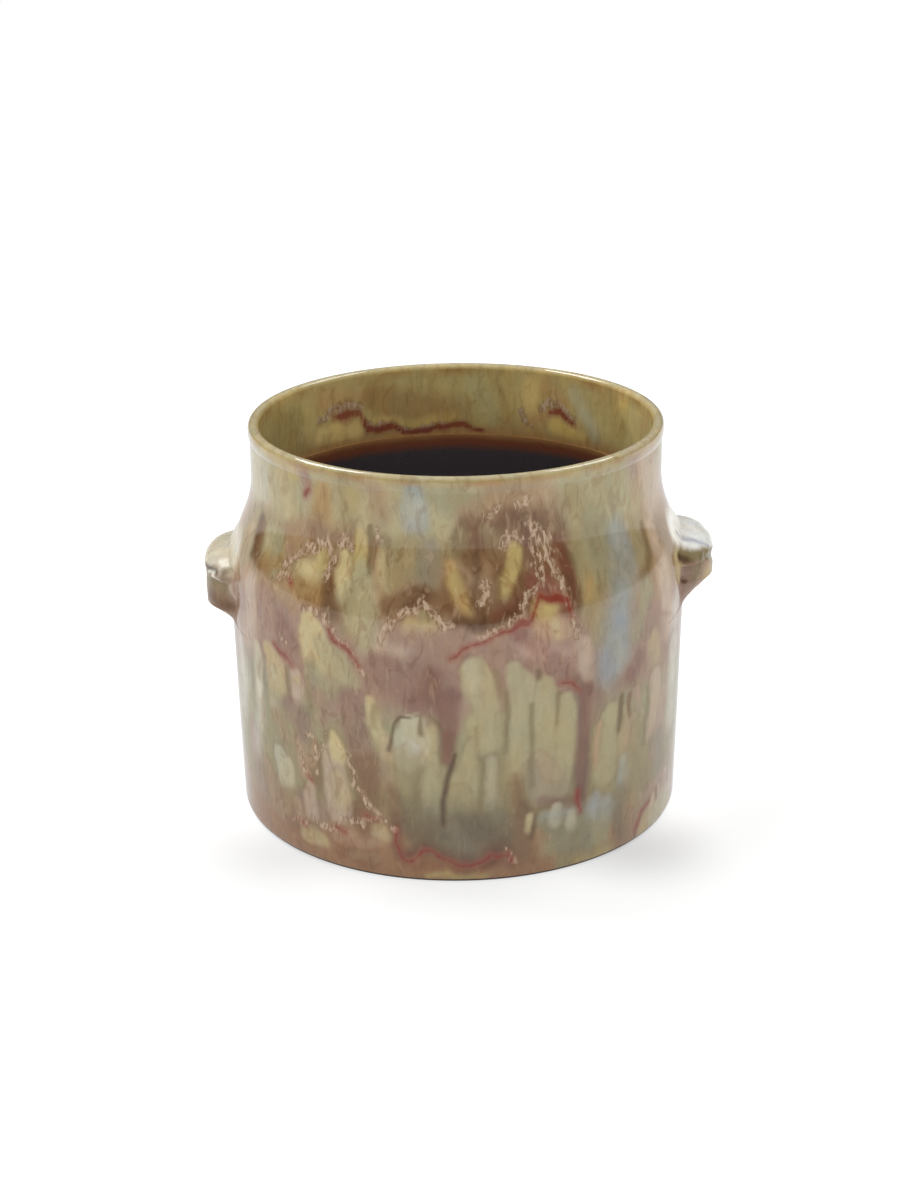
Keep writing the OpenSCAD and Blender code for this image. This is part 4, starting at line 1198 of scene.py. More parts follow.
class Nodes:
    """Short ways to add and join shader nodes in one tree."""

    def __init__(self, tree: bpy.types.NodeTree) -> None:
        """Keeps the tree."""
        self.tree = tree

    @classmethod
    def fresh(cls, owner: bpy.types.Material | bpy.types.World) -> Nodes:
        """Switches on and empties the nodes of a material or world."""
        owner.use_nodes = True
        owner.node_tree.nodes.clear()
        return cls(owner.node_tree)

    def add(self, kind: str, **settings: object) -> bpy.types.Node:
        """Adds a node.

        Args:
            kind: Its type, without the leading ShaderNode.
            settings: Properties to set on it.

        Returns:
            The node.
        """
        node = self.tree.nodes.new("ShaderNode" + kind)
        for name, value in settings.items():
            setattr(node, name, value)
        return node

    def feed(self, slot: Socket, value: Value) -> None:
        """Joins an output to an input, or sets the input to a number or colour."""
        if isinstance(value, Socket):
            self.tree.links.new(value, slot)
        else:
            slot.default_value = value

    def feed_all(self, node: bpy.types.Node, **values: Value) -> None:
        """Feeds several inputs of a node by their names."""
        for name, value in values.items():
            self.feed(node.inputs[name.replace("_", " ")], value)

    def math(self, operation: str, *values: Socket | float, clamp: bool = False) -> Socket:
        """Adds a Math node.

        Args:
            operation: Its operation.
            values: Sockets or numbers that it reads.
            clamp: Whether the result is kept from 0 to 1.

        Returns:
            Its result.
        """
        node = self.add("Math", operation=operation, use_clamp=clamp)
        for slot, value in zip(node.inputs, values):
            self.feed(slot, value)
        return node.outputs[0]

    def plus(self, first: Socket, second: Socket | float) -> Socket:
        """Sum of two values."""
        return self.math("ADD", first, second)

    def times(self, first: Socket, second: Socket | float) -> Socket:
        """Product of two values."""
        return self.math("MULTIPLY", first, second)

    def ramp(self, value: Socket, low: float, high: float, start: float = 0.0, end: float = 1.0) -> Socket:
        """Maps a value smoothly from low..high to start..end and holds it beyond.

        Args:
            value: The value.
            low: Where the change starts.
            high: Where it ends, which may be less.
            start: Result at low.
            end: Result at high.

        Returns:
            The result.
        """
        node = self.add("MapRange", interpolation_type="SMOOTHSTEP")
        self.feed_all(node, Value=value, From_Min=low, From_Max=high, To_Min=start, To_Max=end)
        return node.outputs["Result"]

    def swing(self, value: Socket, low: float, high: float, amount: float) -> Socket:
        """Maps a value smoothly to a factor from 1 - amount at low to 1 + amount at high."""
        return self.ramp(value, low, high, 1 - amount, 1 + amount)

    def shaken(self, value: Socket, noise: Socket, reach: float) -> Socket:
        """Moves a value by noise, by up to half of reach either way."""
        return self.plus(value, self.times(self.math("SUBTRACT", noise, 0.5), reach))

    def blend(self, share: Value, under: Value, over: Value, mode: str = "MIX") -> Socket:
        """Blends two colours.

        Args:
            share: How much of the upper one shows.
            under: The lower colour.
            over: The upper colour.
            mode: How they blend.

        Returns:
            The blended colour.
        """
        node = self.add("Mix", data_type="RGBA", blend_type=mode)
        for slot, value in ((0, share), (6, under), (7, over)):
            self.feed(node.inputs[slot], value)
        return node.outputs[2]

    def grey(self, *channels: Socket) -> Socket:
        """Makes a colour from a value for red, green and blue."""
        node = self.add("CombineColor")
        for slot, channel in zip(node.inputs, channels):
            self.feed(slot, channel)
        return node.outputs[0]

    def noise(self, grain: Grain) -> Socket:
        """Adds a noise.

        Args:
            grain: Its sizes.

        Returns:
            Its value, from 0 to 1.
        """
        mapping = self.add("Mapping")
        place = self.add("TexCoord").outputs["Object"]
        self.feed_all(mapping, Vector=place, Scale=grain.scale, Location=grain.place)
        noise = self.add("TexNoise")
        place = mapping.outputs["Vector"]
        self.feed_all(noise, Vector=place, Scale=1.0, Detail=grain.detail, Distortion=grain.distortion)
        return noise.outputs["Fac"]

    def surface(self, colour: Socket, roughness: Socket) -> bpy.types.Node:
        """Ends a material with a Principled shader.

        Args:
            colour: Its colour.
            roughness: Its roughness.

        Returns:
            The shader's node.
        """
        shader = self.add("BsdfPrincipled")
        self.feed_all(shader, Base_Color=colour, Roughness=roughness)
        self.feed(self.add("OutputMaterial").inputs[0], shader.outputs[0])
        return shader

    def emboss(self, shader: bpy.types.Node, height: Socket, strength: float, depth: float) -> None:
        """Gives a shader a relief from a height of 0 to 1, at a strength and a depth in metres."""
        bump = self.add("Bump")
        self.feed_all(bump, Strength=strength, Distance=depth, Height=height)
        self.feed(shader.inputs["Normal"], bump.outputs["Normal"])

    def mix_shaders(self, share: Socket, under: Socket, over: Socket) -> Socket:
        """Mixes two shaders by a share of the upper one."""
        node = self.add("MixShader")
        for slot, value in zip(node.inputs, (share, under, over)):
            self.feed(slot, value)
        return node.outputs[0]

    def by_ray(self, plain: Socket, mirrored: Socket, seen: Socket) -> Socket:
        """Picks a shader: one for light on the pot, one that gloss shows, or one that the camera sees."""
        ray = self.add("LightPath").outputs
        shiny = self.math("ADD", ray["Is Glossy Ray"], ray["Is Transmission Ray"], clamp=True)
        return self.mix_shaders(ray["Is Camera Ray"], self.mix_shaders(shiny, plain, mirrored), seen)


class GlazeGrain:
    """The node group of the reactive glaze's fine detail, used by every glazed material.

    The tint is streaked and marbled. Near a crest it turns to pale feathered lines over red brown, and
    within a seam to iron red.
    """

    NAME = "glaze_grain"
    INPUTS = {"Tint": "Color", "Stir": "Float", "Crest": "Float", "Seam": "Float"}
    OUTPUTS = {"Color": "Color", "Roughness": "Float", "Height": "Float"}
    STREAKS = Grain((300, 300, 42), 3.0)
    MOTTLE = Grain((150, 150, 95), 3.0, (3.1, 1.7, 0.4))
    SPECKLE = Grain((950, 950, 700), 1.5, (7.7, 2.9, 5.3))
    WARMTH = Grain((90, 90, 34), 2.0, (1.2, 8.8, 3.6))
    VEINS = Grain((150, 150, 62), 3.0, (5.5, 1.1, 2.8), 1.4)
    CURLS = Grain((230, 230, 76), 2.0, (0.6, 4.9, 8.3), 0.5)
    CREST_EDGE = Grain((330, 330, 170), 2.0, (2.2, 6.1, 9.4))
    BEADS = Grain((520, 520, 210), 1.0, (4.4, 0.3, 7.2), 0.15)
    SEAM_EDGE = Grain((300, 300, 240), 2.0, (8.1, 3.3, 1.9))
    WARM_SWINGS = (0.03, 0.0, -0.05)
    VEIN_LOSS = (0.74, 0.62, 0.56, 1)
    CURL_COLOUR = (206, 182, 146)
    FEATHER_COLOUR = (204, 178, 152)
    HALO_COLOUR = (142, 82, 62)
    SEAM_COLOUR = (124, 44, 34)

    def build(self) -> bpy.types.NodeTree:
        """Makes the group with its inputs and outputs.

        Returns:
            The group.
        """
        tree = bpy.data.node_groups.new(self.NAME, "ShaderNodeTree")
        for way, sockets in (("INPUT", self.INPUTS), ("OUTPUT", self.OUTPUTS)):
            for name, kind in sockets.items():
                tree.interface.new_socket(name=name, in_out=way, socket_type="NodeSocket" + kind)
        nodes = Nodes(tree)
        source = tree.nodes.new("NodeGroupInput").outputs
        result = tree.nodes.new("NodeGroupOutput").inputs
        streaks = nodes.noise(self.STREAKS)
        mottle = nodes.noise(self.MOTTLE)
        colour = self._scale(nodes, source["Tint"], streaks, mottle)
        colour = self._marble(nodes, source["Stir"], colour)
        colour, feather = self._crest(nodes, source["Crest"], colour)
        colour, iron = self._seam(nodes, source["Seam"], colour)
        nodes.feed(result["Color"], colour)
        rough = nodes.plus(nodes.ramp(mottle, 0.3, 0.7, 0.045, 0.09), nodes.times(feather, 0.1))
        nodes.feed(result["Roughness"], rough)
        height = nodes.plus(nodes.times(streaks, 0.5), nodes.times(mottle, 0.6))
        height = nodes.plus(height, nodes.times(feather, 0.5))
        nodes.feed(result["Height"], nodes.math("SUBTRACT", height, nodes.times(iron, 0.35)))
        return tree

    def _scale(self, nodes: Nodes, tint: Socket, streaks: Socket, mottle: Socket) -> Socket:
        """Scales the tint by streaks, mottle, speckle and a slow change from cool to warm.

        Args:
            nodes: Where to add nodes.
            tint: The tint.
            streaks: Noise that runs down.
            mottle: Noise of soft spots.

        Returns:
            The scaled colour.
        """
        light = nodes.times(nodes.swing(streaks, 0.25, 0.75, 0.03), nodes.swing(mottle, 0.25, 0.75, 0.055))
        light = nodes.times(light, nodes.swing(nodes.noise(self.SPECKLE), 0.25, 0.75, 0.03))
        warm = nodes.noise(self.WARMTH)
        channels = [nodes.times(light, nodes.swing(warm, 0.3, 0.7, swing)) for swing in self.WARM_SWINGS]
        return nodes.blend(1.0, tint, nodes.grey(*channels), "MULTIPLY")

    def _marble(self, nodes: Nodes, stir: Socket, under: Socket) -> Socket:
        """Marbles a colour with red-brown veins and pale curls that run down.

        Args:
            nodes: Where to add nodes.
            stir: Strength of the marbling.
            under: The colour below.

        Returns:
            The marbled colour.
        """
        dark = nodes.times(nodes.ramp(nodes.noise(self.VEINS), 0.5, 0.34), stir)
        pale = nodes.times(nodes.ramp(nodes.noise(self.CURLS), 0.56, 0.72), stir)
        veined = nodes.blend(nodes.times(dark, 0.75), under, self.VEIN_LOSS, "MULTIPLY")
        return nodes.blend(nodes.times(pale, 0.2), veined, rgba(self.CURL_COLOUR))

    def _crest(self, nodes: Nodes, distance: Socket, under: Socket) -> tuple[Socket, Socket]:
        """Lays the feathered crest over a colour.

        Noise that is stretched upwards moves its border. Within it, pale beads lie round a pale core.

        Args:
            nodes: Where to add nodes.
            distance: Distance to the crest in millimetres.
            under: The colour below.

        Returns:
            The new colour and the mask of the pale lines.
        """
        reach = nodes.shaken(distance, nodes.noise(self.CREST_EDGE), 9.0)
        zone = nodes.ramp(reach, 2.8, -0.4)
        beads = nodes.ramp(nodes.noise(self.BEADS), 0.5, 0.6)
        core = nodes.ramp(nodes.math("ABSOLUTE", nodes.plus(reach, 0.6)), 1.0, 0.2, 0.0, 0.55)
        feather = nodes.times(zone, nodes.math("MAXIMUM", beads, core))
        shaded = nodes.blend(nodes.times(zone, 0.62), under, rgba(Tone.BROWN))
        return nodes.blend(nodes.times(feather, 0.66), shaded, rgba(self.FEATHER_COLOUR)), feather

    def _seam(self, nodes: Nodes, distance: Socket, under: Socket) -> tuple[Socket, Socket]:
        """Lays the iron-red seam and its soft halo over a colour.

        Args:
            nodes: Where to add nodes.
            distance: Distance to the seam in millimetres.
            under: The colour below.

        Returns:
            The new colour and the seam's mask.
        """
        reach = nodes.shaken(distance, nodes.noise(self.SEAM_EDGE), 2.4)
        line = nodes.ramp(reach, 0.9, -0.6)
        shaded = nodes.blend(nodes.ramp(reach, 3.4, 0.0, 0.0, 0.5), under, rgba(self.HALO_COLOUR))
        return nodes.blend(nodes.times(line, 0.7), shaded, rgba(self.SEAM_COLOUR)), line


@dataclass(frozen=True)
class GlazeFinish:
    """A glossy glaze whose colour comes from the piece's own attributes. Its depth is in metres."""

    name: str
    relief: float = 0.25
    relief_depth: float = 0.0005
    gloss: float = 0.5
    coat: float = 0.0
    coat_roughness: float = 0.05
    blur: float = 0.0

    def material(self, grain: bpy.types.NodeTree) -> bpy.types.Material:
        """Makes the material.

        Args:
            grain: The group of fine detail.

        Returns:
            The material.
        """
        made = bpy.data.materials.new(self.name)
        nodes = Nodes.fresh(made)
        detail = nodes.add("Group", node_tree=grain)
        tint = nodes.add("Attribute", attribute_name="glaze_tint")
        nodes.feed(detail.inputs["Tint"], tint.outputs["Color"])
        for name in Paint.NUMBERS:
            number = nodes.add("Attribute", attribute_name=name)
            nodes.feed(detail.inputs[name.title()], number.outputs["Fac"])
        roughness = nodes.plus(detail.outputs["Roughness"], self.blur)
        shader = nodes.surface(detail.outputs["Color"], roughness)
        nodes.feed_all(shader, Specular_IOR_Level=self.gloss, Coat_Weight=self.coat,
                       Coat_Roughness=self.coat_roughness)
        nodes.emboss(shader, detail.outputs["Height"], self.relief, self.relief_depth)
        return made


@dataclass(frozen=True)
class LinerFinish:
    """Pooled dark glaze inside the pot, amber where it thins out at its edge. Sizes are in metres."""

    name: str = "pooled_dark_glaze"
    dark: Triple = (78, 72, 76)
    warm: Triple = (132, 78, 54)
    thin: Triple = (176, 134, 82)
    edge_low: float = 0.1715
    edge_high: float = 0.1862
    edge_wave: float = 0.004
    cloud: Grain = Grain((40, 40, 40), 1.0)

    def material(self) -> bpy.types.Material:
        """Makes the material: dark below, amber between the two edge heights, moved by noise.

        Returns:
            The material.
        """
        made = bpy.data.materials.new(self.name)
        nodes = Nodes.fresh(made)
        split = nodes.add("SeparateXYZ")
        nodes.feed(split.inputs[0], nodes.add("TexCoord").outputs["Object"])
        cloud = nodes.noise(self.cloud)
        height = nodes.shaken(split.outputs["Z"], cloud, self.edge_wave)
        middle = (self.edge_low + self.edge_high) / 2
        colour = nodes.blend(nodes.ramp(height, self.edge_low, middle), rgba(self.dark), rgba(self.warm))
        colour = nodes.blend(nodes.ramp(height, middle, self.edge_high), colour, rgba(self.thin))
        nodes.surface(colour, nodes.ramp(cloud, 0.3, 0.7, 0.2, 0.34))
        return made


@dataclass(frozen=True)
class ClayFinish:
    """Bare fired stoneware on the pot's foot ring, darkened there as painted shade. Its depth is in metres.
    """

    name: str = "bare_stoneware_and_painted_shade"
    # Both clay colours are darkened as painted shade along the foot.
    light: Triple = (70, 54, 42)
    dark: Triple = (46, 35, 29)
    grog_colour: Triple = (70, 52, 40)
    cloud: Grain = Grain((160, 160, 160), 4.0)
    grog: Grain = Grain((1400, 1400, 1400), 2.0, (3, 5, 7))
    relief: float = 0.4
    relief_depth: float = 0.0004

    def material(self) -> bpy.types.Material:
        """Makes the material: two clay colours mixed by noise, rough, with fine grog in its relief.

        Returns:
            The material.
        """
        made = bpy.data.materials.new(self.name)
        nodes = Nodes.fresh(made)
        cloud = nodes.noise(self.cloud)
        grog = nodes.noise(self.grog)
        colour = nodes.blend(nodes.ramp(cloud, 0.3, 0.7), rgba(self.dark), rgba(self.light))
        colour = nodes.blend(nodes.ramp(grog, 0.6, 0.75, 0.0, 0.5), colour, rgba(self.grog_colour))
        shader = nodes.surface(colour, nodes.ramp(grog, 0.3, 0.7, 0.7, 0.88))
        nodes.emboss(shader, grog, self.relief, self.relief_depth)
        return made


def claim(piece: Piece, node: str) -> None:
    """Says which CAD node a piece stands for.

    Args:
        piece: The new piece.
        node: The CAD node that it hides.
    """
    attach(piece, BODY)
    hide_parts(node)
    log.info("%s stands for %s: %d points", piece.name, node, len(piece.data.vertices))


@dataclass
class PotBody:
    """The slab, the wall and the rolled rim, each spun round the axis and given a hand-made wave."""

    profile: PotProfile
    coat: GlazeCoat
    glaze: bpy.types.Material
    rim_glaze: bpy.types.Material
    clay: bpy.types.Material
    slab_rings: tuple[float, float] = (60.0, 110.0)
    bare_below: float = 2.9
    row_step: float = 1.48
    inner_step: float = 2.2
    fine_above: float = 184.0
    shoulder_end: float = 140.0
    shoulder_rows: int = 12
    plain_rows: tuple[float, float] = (100.0, 60.0)
    rim_inset: float = 1.2

    def _spin(self, name: str, line: Array, closed: bool) -> tuple[Piece, Array]:
        """Spins a line that climbs the outside and comes down the inside.

        Args:
            name: Name of the piece.
            line: Rows of radius and height.
            closed: Whether the line is a loop. If not, it starts and ends on the axis.

        Returns:
            The piece and its points in millimetres.
        """
        turns = column_turns()
        count = len(turns)
        body = line if closed else line[1:-1]
        heights = np.repeat(body[:, 1:], count, axis=1)
        points = self.profile.hand_wave(around(body[:, :1], np.radians(turns), heights), self.coat.noise)
        faces = grid_faces(len(body), count, closed, True).tolist()
        if not closed:
            low_pole = len(points)
            first = np.arange(count)
            last = first + low_pole - count
            faces += np.stack([np.full(count, low_pole), np.roll(first, -1), first], 1).tolist()
            faces += np.stack([np.full(count, low_pole + 1), last, np.roll(last, -1)], 1).tolist()
            points = np.concatenate([points, [[0, 0, line[0, 1]], [0, 0, line[-1, 1]]]])
        return build_mesh(name, points, faces), points

    def _bare_faces(self, piece: Piece, points: Array) -> Array:
        """Marks the faces whose highest corner is below the glaze.

        Args:
            piece: The slab.
            points: Its points in millimetres.

        Returns:
            True or false for each face.
        """
        mesh = piece.data
        corners = np.empty(len(mesh.loops), np.int32)
        starts = np.empty(len(mesh.polygons), np.int32)
        mesh.loops.foreach_get("vertex_index", corners)
        mesh.polygons.foreach_get("loop_start", starts)
        return np.maximum.reduceat(points[corners, 2], starts) < self.bare_below

    def foot(self) -> None:
        """Builds the slab: flat below, with a small round at its edge and bare clay, dark as painted shade,
        at the very foot.
        """
        size = self.profile
        near, far = self.slab_rings
        turn = np.linspace(0, math.pi / 2, 6)
        edge = np.stack([size.foot_radius - size.slab_edge * (1 - np.sin(turn)),
                         size.slab_edge * (1 - np.cos(turn))], 1)
        side = np.array([[size.lower_radius(z), z] for z in np.arange(size.slab_edge + 1, size.slab, 1)])
        under = np.array([[0, 0], [near, 0], [far, 0]])
        top = np.array([[size.lower_radius(size.slab), size.slab], [far, size.slab], [0, size.slab]])
        piece, points = self._spin("foot_slab", np.concatenate([under, edge, side, top]), False)
        self.coat.dress(piece, points)
        piece.data.materials.append(self.glaze)
        piece.data.materials.append(self.clay)
        bare = self._bare_faces(piece, points)
        piece.data.polygons.foreach_set("material_index", bare.astype(np.int32))
        claim(piece, "base_slab")

    def wall(self) -> None:
        """Builds the wall: the outside in even rows, then the inside in coarser ones down to the cove."""
        size = self.profile
        rise = size.rim_seat - size.slab
        up = np.linspace(size.slab, size.rim_seat, 1 + round(rise / self.row_step))
        outer = np.stack([size.outer_radius(up), up], 1)
        down = np.concatenate([
            np.arange(size.rim_seat, self.fine_above, -self.inner_step),
            np.linspace(self.fine_above, self.shoulder_end, self.shoulder_rows),
            [*self.plain_rows, size.slab + size.cove],
        ])
        inner = np.stack([size.inner_radius(down), down], 1)
        turn = np.linspace(math.pi / 2, 0, 5)[1:]
        corner = inner[-1, 0] - size.cove
        cove = np.stack([corner + size.cove * np.sin(turn), size.slab + size.cove * (1 - np.cos(turn))], 1)
        piece, points = self._spin("glazed_wall", np.concatenate([outer, inner, cove]), True)
        inside = np.arange(len(points)) >= len(column_turns()) * len(outer)
        self.coat.dress(piece, points, inside)
        piece.data.materials.append(self.glaze)
        claim(piece, "wall")

    def rim(self) -> None:
        """Builds the rolled rim: a short swell under a half round as wide as the rim."""
        size = self.profile
        outer = size.neck_radius + size.rim_overhang
        inner = size.neck_radius - size.neck_wall
        middle = (outer + inner) / 2
        half = (outer - inner) / 2
        turn = np.linspace(0, math.pi, 25)
        swell = np.linspace(0, 1, 6)[:-1]
        low = np.stack([size.neck_radius + size.rim_overhang * np.sin(swell * math.pi / 2),
                        size.rim_seat + size.rim_swell * swell], 1)
        side = np.array([[outer, size.rim_seat + size.rim_swell]])
        top = np.stack([middle + half * np.cos(turn), size.height - half + half * np.sin(turn)], 1)
        seat = np.linspace(inner, size.neck_radius, 4)[:-1]
        seat_line = np.stack([seat, np.full(len(seat), size.rim_seat)], 1)
        piece, points = self._spin("rolled_rim", np.concatenate([low, side, top, seat_line]), True)
        radius = np.hypot(points[:, 0], points[:, 1])
        self.coat.dress(piece, points, radius < middle - self.rim_inset)
        piece.data.materials.append(self.rim_glaze)
        claim(piece, "rim_coil")


class Side(Enum):
    """The side a lug is on: its node, its turn in degrees, and the sign of x towards the front."""

    LEFT = ("lug_left", -90.0, 1)
    RIGHT = ("lug_right", 90.0, -1)


@dataclass(frozen=True)
class Push:
    """A finger's push into the clay, or a lump left beside it.

    Its height is depth * exp(-(along / length)^2 - (beside / width)^2), with along and beside measured
    from its middle on axes turned by its angle in degrees.
    """

    forward: float
    up: float
    depth: float
    length: float
    width: float
    angle: float = 0.0

    def height(self, forward: Array, up: Array) -> Array:
        """Height in millimetres that the push adds.

        Args:
            forward: Millimetres from the lug's middle towards the front of the pot.
            up: Millimetres above it.

        Returns:
            The height, negative in a hollow.
        """
        turn = math.radians(self.angle)
        dx = forward - self.forward
        dy = up - self.up
        along = dx * math.cos(turn) + dy * math.sin(turn)
        beside = dy * math.cos(turn) - dx * math.sin(turn)
        return self.depth * np.exp(-(along / self.length) ** 2 - (beside / self.width) ** 2)


def part_of(value: Array, limit: float | Array, power: float) -> Array:
    """(|value| / limit) to a power."""
    return (np.abs(value) / limit) ** power


def signed_root(value: Array) -> Array:
    """Square root that keeps the sign."""
    return np.sign(value) * np.sqrt(np.abs(value))


def soft_max(first: Array, second: Array, width: float) -> Array:
    """Larger of two arrays, with the corner between them rounded over a width."""
    share = np.clip(0.5 + (first - second) / (2 * width), 0, 1)
    return second + (first - second) * share + width * share * (1 - share)


LEFT_PUSHES = (
    Push(23, -0.4, -3.0, 6, 1.6, 8),
    Push(25, -3.2, 1.2, 7, 1.2, 10),
    Push(32, -17, -2.4, 6, 5, -30),
    Push(36, -8, 1.8, 3, 7, 8),
    Push(-16, -7, -2.0, 8, 2.6),
    Push(-27, -16, -1.8, 6, 5),
    Push(-34, -10, 1.4, 3, 6),
    Push(34, 1, -1.4, 3, 2.4, 50),
)
RIGHT_PUSHES = (
    Push(19, 6, -1.0, 9, 1.4, -48),
    Push(25, 3, 0.7, 7, 2.2, -40),
    Push(35.5, 1, -3.6, 3, 2.6),
    Push(32, -12.6, -2.4, 2.2, 2.2),
    Push(14, -4.5, -1.6, 12, 2, 20),
    Push(28, -18, -1.4, 6, 6, -25),
    Push(-18, -8, -2.0, 8, 3),
    Push(-30, -14, -1.6, 5, 6),
    Push(-8, 4, -0.6, 12, 1.8, 20),
)


@dataclass
class PinchedLug:
    """A lug pinched out of the wall: a rounded hood over a web that leans back into the wall.

    Its surface is the wall's, moved outwards by a reach over x, the millimetres round the wall from
    the lug's middle, and up, the millimetres above it.
    """

    profile: PotProfile
    coat: GlazeCoat
    glaze: bpy.types.Material
    side: Side
    middle: float
    reach: float
    pushes: tuple[Push, ...]
    hood_width: float = 73.0
    hood_rise: float = 10.0
    hood_fall: float = 6.5
    hood_curl: float = 3.0
    hood_power: float = 2.3
    web_width: float = 69.0
    web_drop: float = 30.0
    web_slope: float = 64.0
    web_inset: float = 0.5
    web_top_slope: float = 3.0
    smear_width: float = 112.0
    smear_rise: float = 22.0
    smear_fall: float = 32.0
    smear_reach: float = 4.0
    smear_sink: float = 0.4
    hood_blend: float = 2.0
    smear_blend: float = 2.5
    grain: Ripple = Ripple(0.35, 7, layered=True)
    deepest: float = 1.2
    back_depth: float = 3.0
    side_margin: float = 2.0
    top_margin: float = 1.0
    foot_margin: float = 4.0
    columns: int = 220
    rows: int = 120

    def relief(self, across: Array, up: Array) -> Array:
        """Reach of the lug in millimetres.

        The hood is reach * root(1 - (x / w)^p - (u / h)^p), with u measured from a line that curls down
        at both ends. The web is a slope that starts web_drop below. The smear is a low swelling that
        runs out into the wall. A soft maximum joins the three.

        Args:
            across: Millimetres round the wall from the lug's middle.
            up: Millimetres above it.

        Returns:
            The reach.
        """
        over = up + self.hood_curl * part_of(across, self.hood_width / 2, 2)
        level = np.where(over > 0, self.hood_rise, self.hood_fall)
        beside = part_of(across, self.hood_width / 2, self.hood_power)
        hood = self.reach * signed_root(1 - beside - part_of(over, level, self.hood_power))
        slope = np.tan(math.radians(self.web_slope))
        web = np.minimum(self.reach - self.web_inset, (up + self.web_drop) * slope)
        fade = 1 - part_of(across, self.web_width / 2, 3)
        web = np.where(web > 0, web * fade, web) - np.maximum(0, up) * self.web_top_slope
        level = np.where(up > 0, self.smear_rise, self.smear_fall)
        inner = np.clip(1 - part_of(across, self.smear_width / 2, 2) - part_of(up, level, 2), 0, 1)
        smear = self.smear_reach * inner * inner - self.smear_sink
        formed = soft_max(soft_max(hood, web, self.hood_blend), smear, self.smear_blend)
        forward = across * self.side.value[2]
        return formed + sum(push.height(forward, up) for push in self.pushes)

    def build(self) -> None:
        """Builds the lug as a closed skin whose back lies inside the wall."""
        node, turn, _ = self.side.value
        half = self.smear_width / 2 + self.side_margin
        columns = np.linspace(-half, half, self.columns)
        rows = np.linspace(-self.web_drop - self.foot_margin, self.smear_rise + self.top_margin, self.rows)
        across, up = (grid.ravel() for grid in np.meshgrid(columns, rows))
        height = self.middle + up
        angle = np.radians(turn) + across / self.profile.belly_radius
        base = self.profile.outer_radius(height)
        places = np.stack([across, up, np.full(len(across), self.reach)], 1)
        lift = self.relief(across, up)
        grain = self.grain.at(self.coat.noise, places) * np.clip(lift / 2, 0, 1)
        lift = np.clip(lift + grain, -self.deepest, self.reach)
        skins = [around(base + lift, angle, height), around(base - self.back_depth, angle, height)]
        points = self.profile.hand_wave(np.concatenate(skins), self.coat.noise)
        piece = build_mesh(node + "_form", points, self._faces())
        self.coat.dress(piece, points)
        piece.data.materials.append(self.glaze)
        claim(piece, node)

    def _faces(self) -> list[list[int]]:
        """Joins the front skin, the back skin turned round, and the strip between them.

        Returns:
            Four corner numbers for each face.
        """
        front = grid_faces(self.rows, self.columns, False, False)
        total = self.rows * self.columns
        back = front[:, ::-1] + total
        border = np.concatenate([
            np.arange(self.columns),
            np.arange(2, self.rows) * self.columns - 1,
            np.arange(total - 1, total - self.columns - 1, -1),
            np.arange(self.rows - 2, 0, -1) * self.columns,
        ])
        following = np.roll(border, -1)
        strip = np.stack([following, border, border + total, following + total], 1)
        return np.concatenate([front, back, strip]).tolist()


@dataclass(frozen=True)
class PaintedFloorShade:
    """Painted shade on the floor round a place: its brightness is start at near metres from it, end at far
    metres.
    """

    x: float
    y: float
    near: float
    far: float
    start: float
    end: float

    def brightness(self, nodes: Nodes) -> Socket:
        """Adds the nodes that work the brightness out.

        Args:
            nodes: Where to add them.

        Returns:
            The brightness.
        """
        away = nodes.add("VectorMath", operation="DISTANCE")
        nodes.feed(away.inputs[0], nodes.add("TexCoord").outputs["Object"])
        nodes.feed(away.inputs[1], (self.x, self.y, 0))
        return nodes.ramp(away.outputs["Value"], self.near, self.far, self.start, self.end)


@dataclass(frozen=True)
class SoftBox:
    """A square soft box that hangs in a direction from the pot and faces a point above its foot.

    Distance, width and the height it is aimed at are in metres, and its power is in watts. Gloss shows
    it if it is mirrored.
    """

    name: str
    towards: Triple
    away: float
    width: float
    power: float
    mirrored: bool = True
    aim: float = 0.15

    def hang(self) -> None:
        """Hangs the lamp in the scene."""
        lamp = bpy.data.lights.new(self.name, "AREA")
        lamp.shape = "SQUARE"
        lamp.size = self.width
        lamp.energy = self.power
        made = bpy.data.objects.new(self.name, lamp)
        direction = Vector(self.towards).normalized()
        made.location = direction * self.away + Vector((0, 0, self.aim))
        made.rotation_euler = direction.to_track_quat("Z", "Y").to_euler()
        made.visible_glossy = self.mirrored
        bpy.context.scene.collection.objects.link(made)


